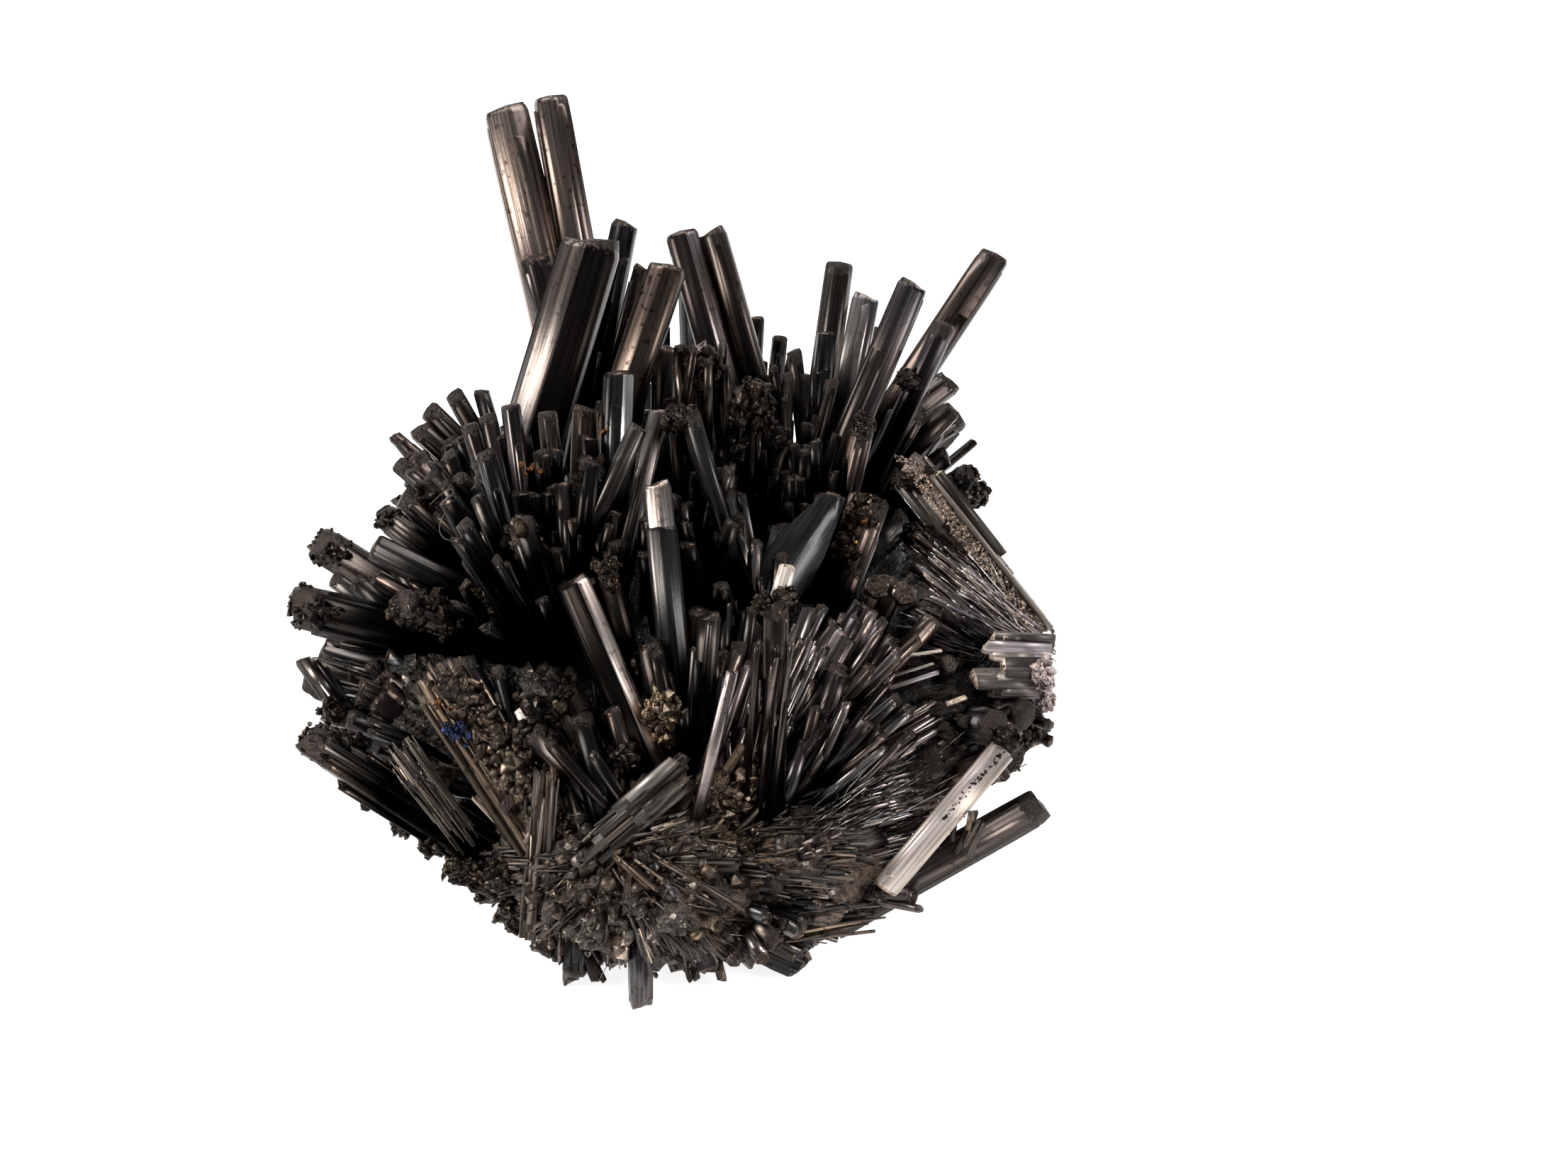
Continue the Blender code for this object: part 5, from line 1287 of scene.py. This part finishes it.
# Grains along the slab at the right and on the bright diagonal.
for start, end, count, size, tones in (
        ((11.8, 23.7, 16.8), (18.5, 18.8, 9.7), 900, (0.08, 0.30), (5.0, 8.5)),
        ((13.6, 7.6, 6.9), (16.5, 9.9, 8.9), 50, (0.06, 0.24), (0.3, 1.0))):
    start, end = np.array(start), np.array(end)
    for number in range(count):
        spot = start + (end - start) * rng.random() + (end - start)[::-1] * rng.uniform(-0.13, 0.13)
        scatter(caps, spot, rng.uniform(*size), rng.uniform(*tones), rng.uniform(0.1, 0.6), rng)
set_down("tip_crust", caps, crust_finish)

glint_finish = crystal_finish("glinting_grains", (0.26, 0.25, 0.24, 1), (0.34, 0.24, 0.14, 1),
                              (0.10, 0.08, 0.06, 1), 0.10)
glints = new_heap()
for index in rng.permutation(len(skin_spots))[:1400]:
    spot, out = skin_spots[index], skin_out[index]
    if spot[2] < 0.4 or abs(spot[0]) > 18.6:
        continue
    # Painted glints: a few grains are painted far brighter, and painted shade darkens those inside the
    # spray.
    scatter(glints, spot + out * rng.uniform(-0.05, 0.08), rng.uniform(0.06, 0.18),
            float(openness(spot)) * rng.uniform(0.2, 1.0) ** 3 * 3.0, rng.uniform(-0.2, 1.0), rng)
set_down("root_grains", glints, glint_finish)

# ---------------------------------------------------------------- coloured stains
# Thin scales of blue tarnish on the long brown blade, and of orange rust on it and on a few
# crystals, where the metal has weathered.
stain_finish, tree, shader = new_finish("iridescent_scales")
tone, rusted, _ = face_values(tree)
grain = speckle(tree, attribute(tree, "grown", "Vector"), 6.0, 4.0)
tint = mixed(tree, rusted, (0.035, 0.065, 0.190, 1), (0.34, 0.13, 0.030, 1))
shade = reckon(tree, "MULTIPLY", tone, between(tree, grain, 0.35, 0.65, 0.3, 1.3))
tree.links.new(scaled(tree, tint, shade), shader.inputs["Base Color"])
tree.links.new(between(tree, grain, 0.3, 0.7, 0.5, 0.25), shader.inputs["Roughness"])
shader.inputs["Metallic"].default_value = 0.7
scales = new_heap()
rng = np.random.default_rng(31)
for middle, stray, count, size, tone, rust in (
        ((-10.7, 9.35, 10.6), 0.28, 60, 0.32, 0.45, 0.0), ((-11.3, 10.4, 11.4), 0.25, 14, 0.24, 0.6, 1.0),
        ((-3.5, 23.0, 19.4), 0.25, 8, 0.3, 0.8, 1.0), ((-7.0, 20.0, 18.9), 0.25, 6, 0.3, 0.8, 1.0),
        ((9.4, 20.2, 14.6), 0.4, 8, 0.3, 0.8, 1.0)):
    for number in range(count):
        scatter(scales, np.array(middle) + rng.normal(0.0, stray, 3), size * rng.uniform(0.5, 1.2),
                tone * rng.uniform(0.5, 1.3), rust, rng)
set_down("coloured_stains", scales, stain_finish)

# ---------------------------------------------------------------- stray hair
# One fine curled hair, a fibre from elsewhere, that has caught between the crystals of the
# upper left.
hair = bpy.data.curves.new("stray_hair", "CURVE")
hair.dimensions = "3D"
hair.bevel_depth = 0.02 * MM
hair.bevel_resolution = 0
hair.resolution_u = 6
hair.use_fill_caps = True
strand = hair.splines.new("NURBS")
HAIR_PATH = ((-12.3, 21.0, 15.9), (-11.8, 21.4, 16.3), (-11.0, 21.6, 16.8), (-11.2, 21.0, 16.0),
             (-12.0, 20.2, 15.2), (-11.6, 19.5, 14.6), (-10.9, 19.6, 14.8), (-10.4, 19.2, 14.2))
strand.points.add(len(HAIR_PATH) - 1)
for point, spot in zip(strand.points, HAIR_PATH):
    point.co = (*((np.array(spot) - SPRAY_MIDDLE) * MM), 1.0)
strand.use_endpoint_u = True
strand.order_u = 4
holder = bpy.data.objects.new("stray_hair", hair)
bpy.context.scene.collection.objects.link(holder)
hair_mesh = bpy.data.meshes.new_from_object(holder.evaluated_get(bpy.context.evaluated_depsgraph_get()))
bpy.data.objects.remove(holder)
hair_finish, tree, shader = new_finish("hair")
where = node(tree, "TexCoord").outputs["Object"]
shine = speckle(tree, scaled(tree, where, 1000.0), 3.0, 2.0)
tree.links.new(mixed(tree, shine, (0.10, 0.08, 0.06, 1), (0.30, 0.26, 0.20, 1)),
               shader.inputs["Base Color"])
shader.inputs["Roughness"].default_value = 0.45
hair_mesh.materials.clear()
hair_mesh.materials.append(hair_finish)
stray_hair = bpy.data.objects.new("stray_hair", hair_mesh)
bpy.context.scene.collection.objects.link(stray_hair)
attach(stray_hair, "root")

bpy.context.view_layer.update()
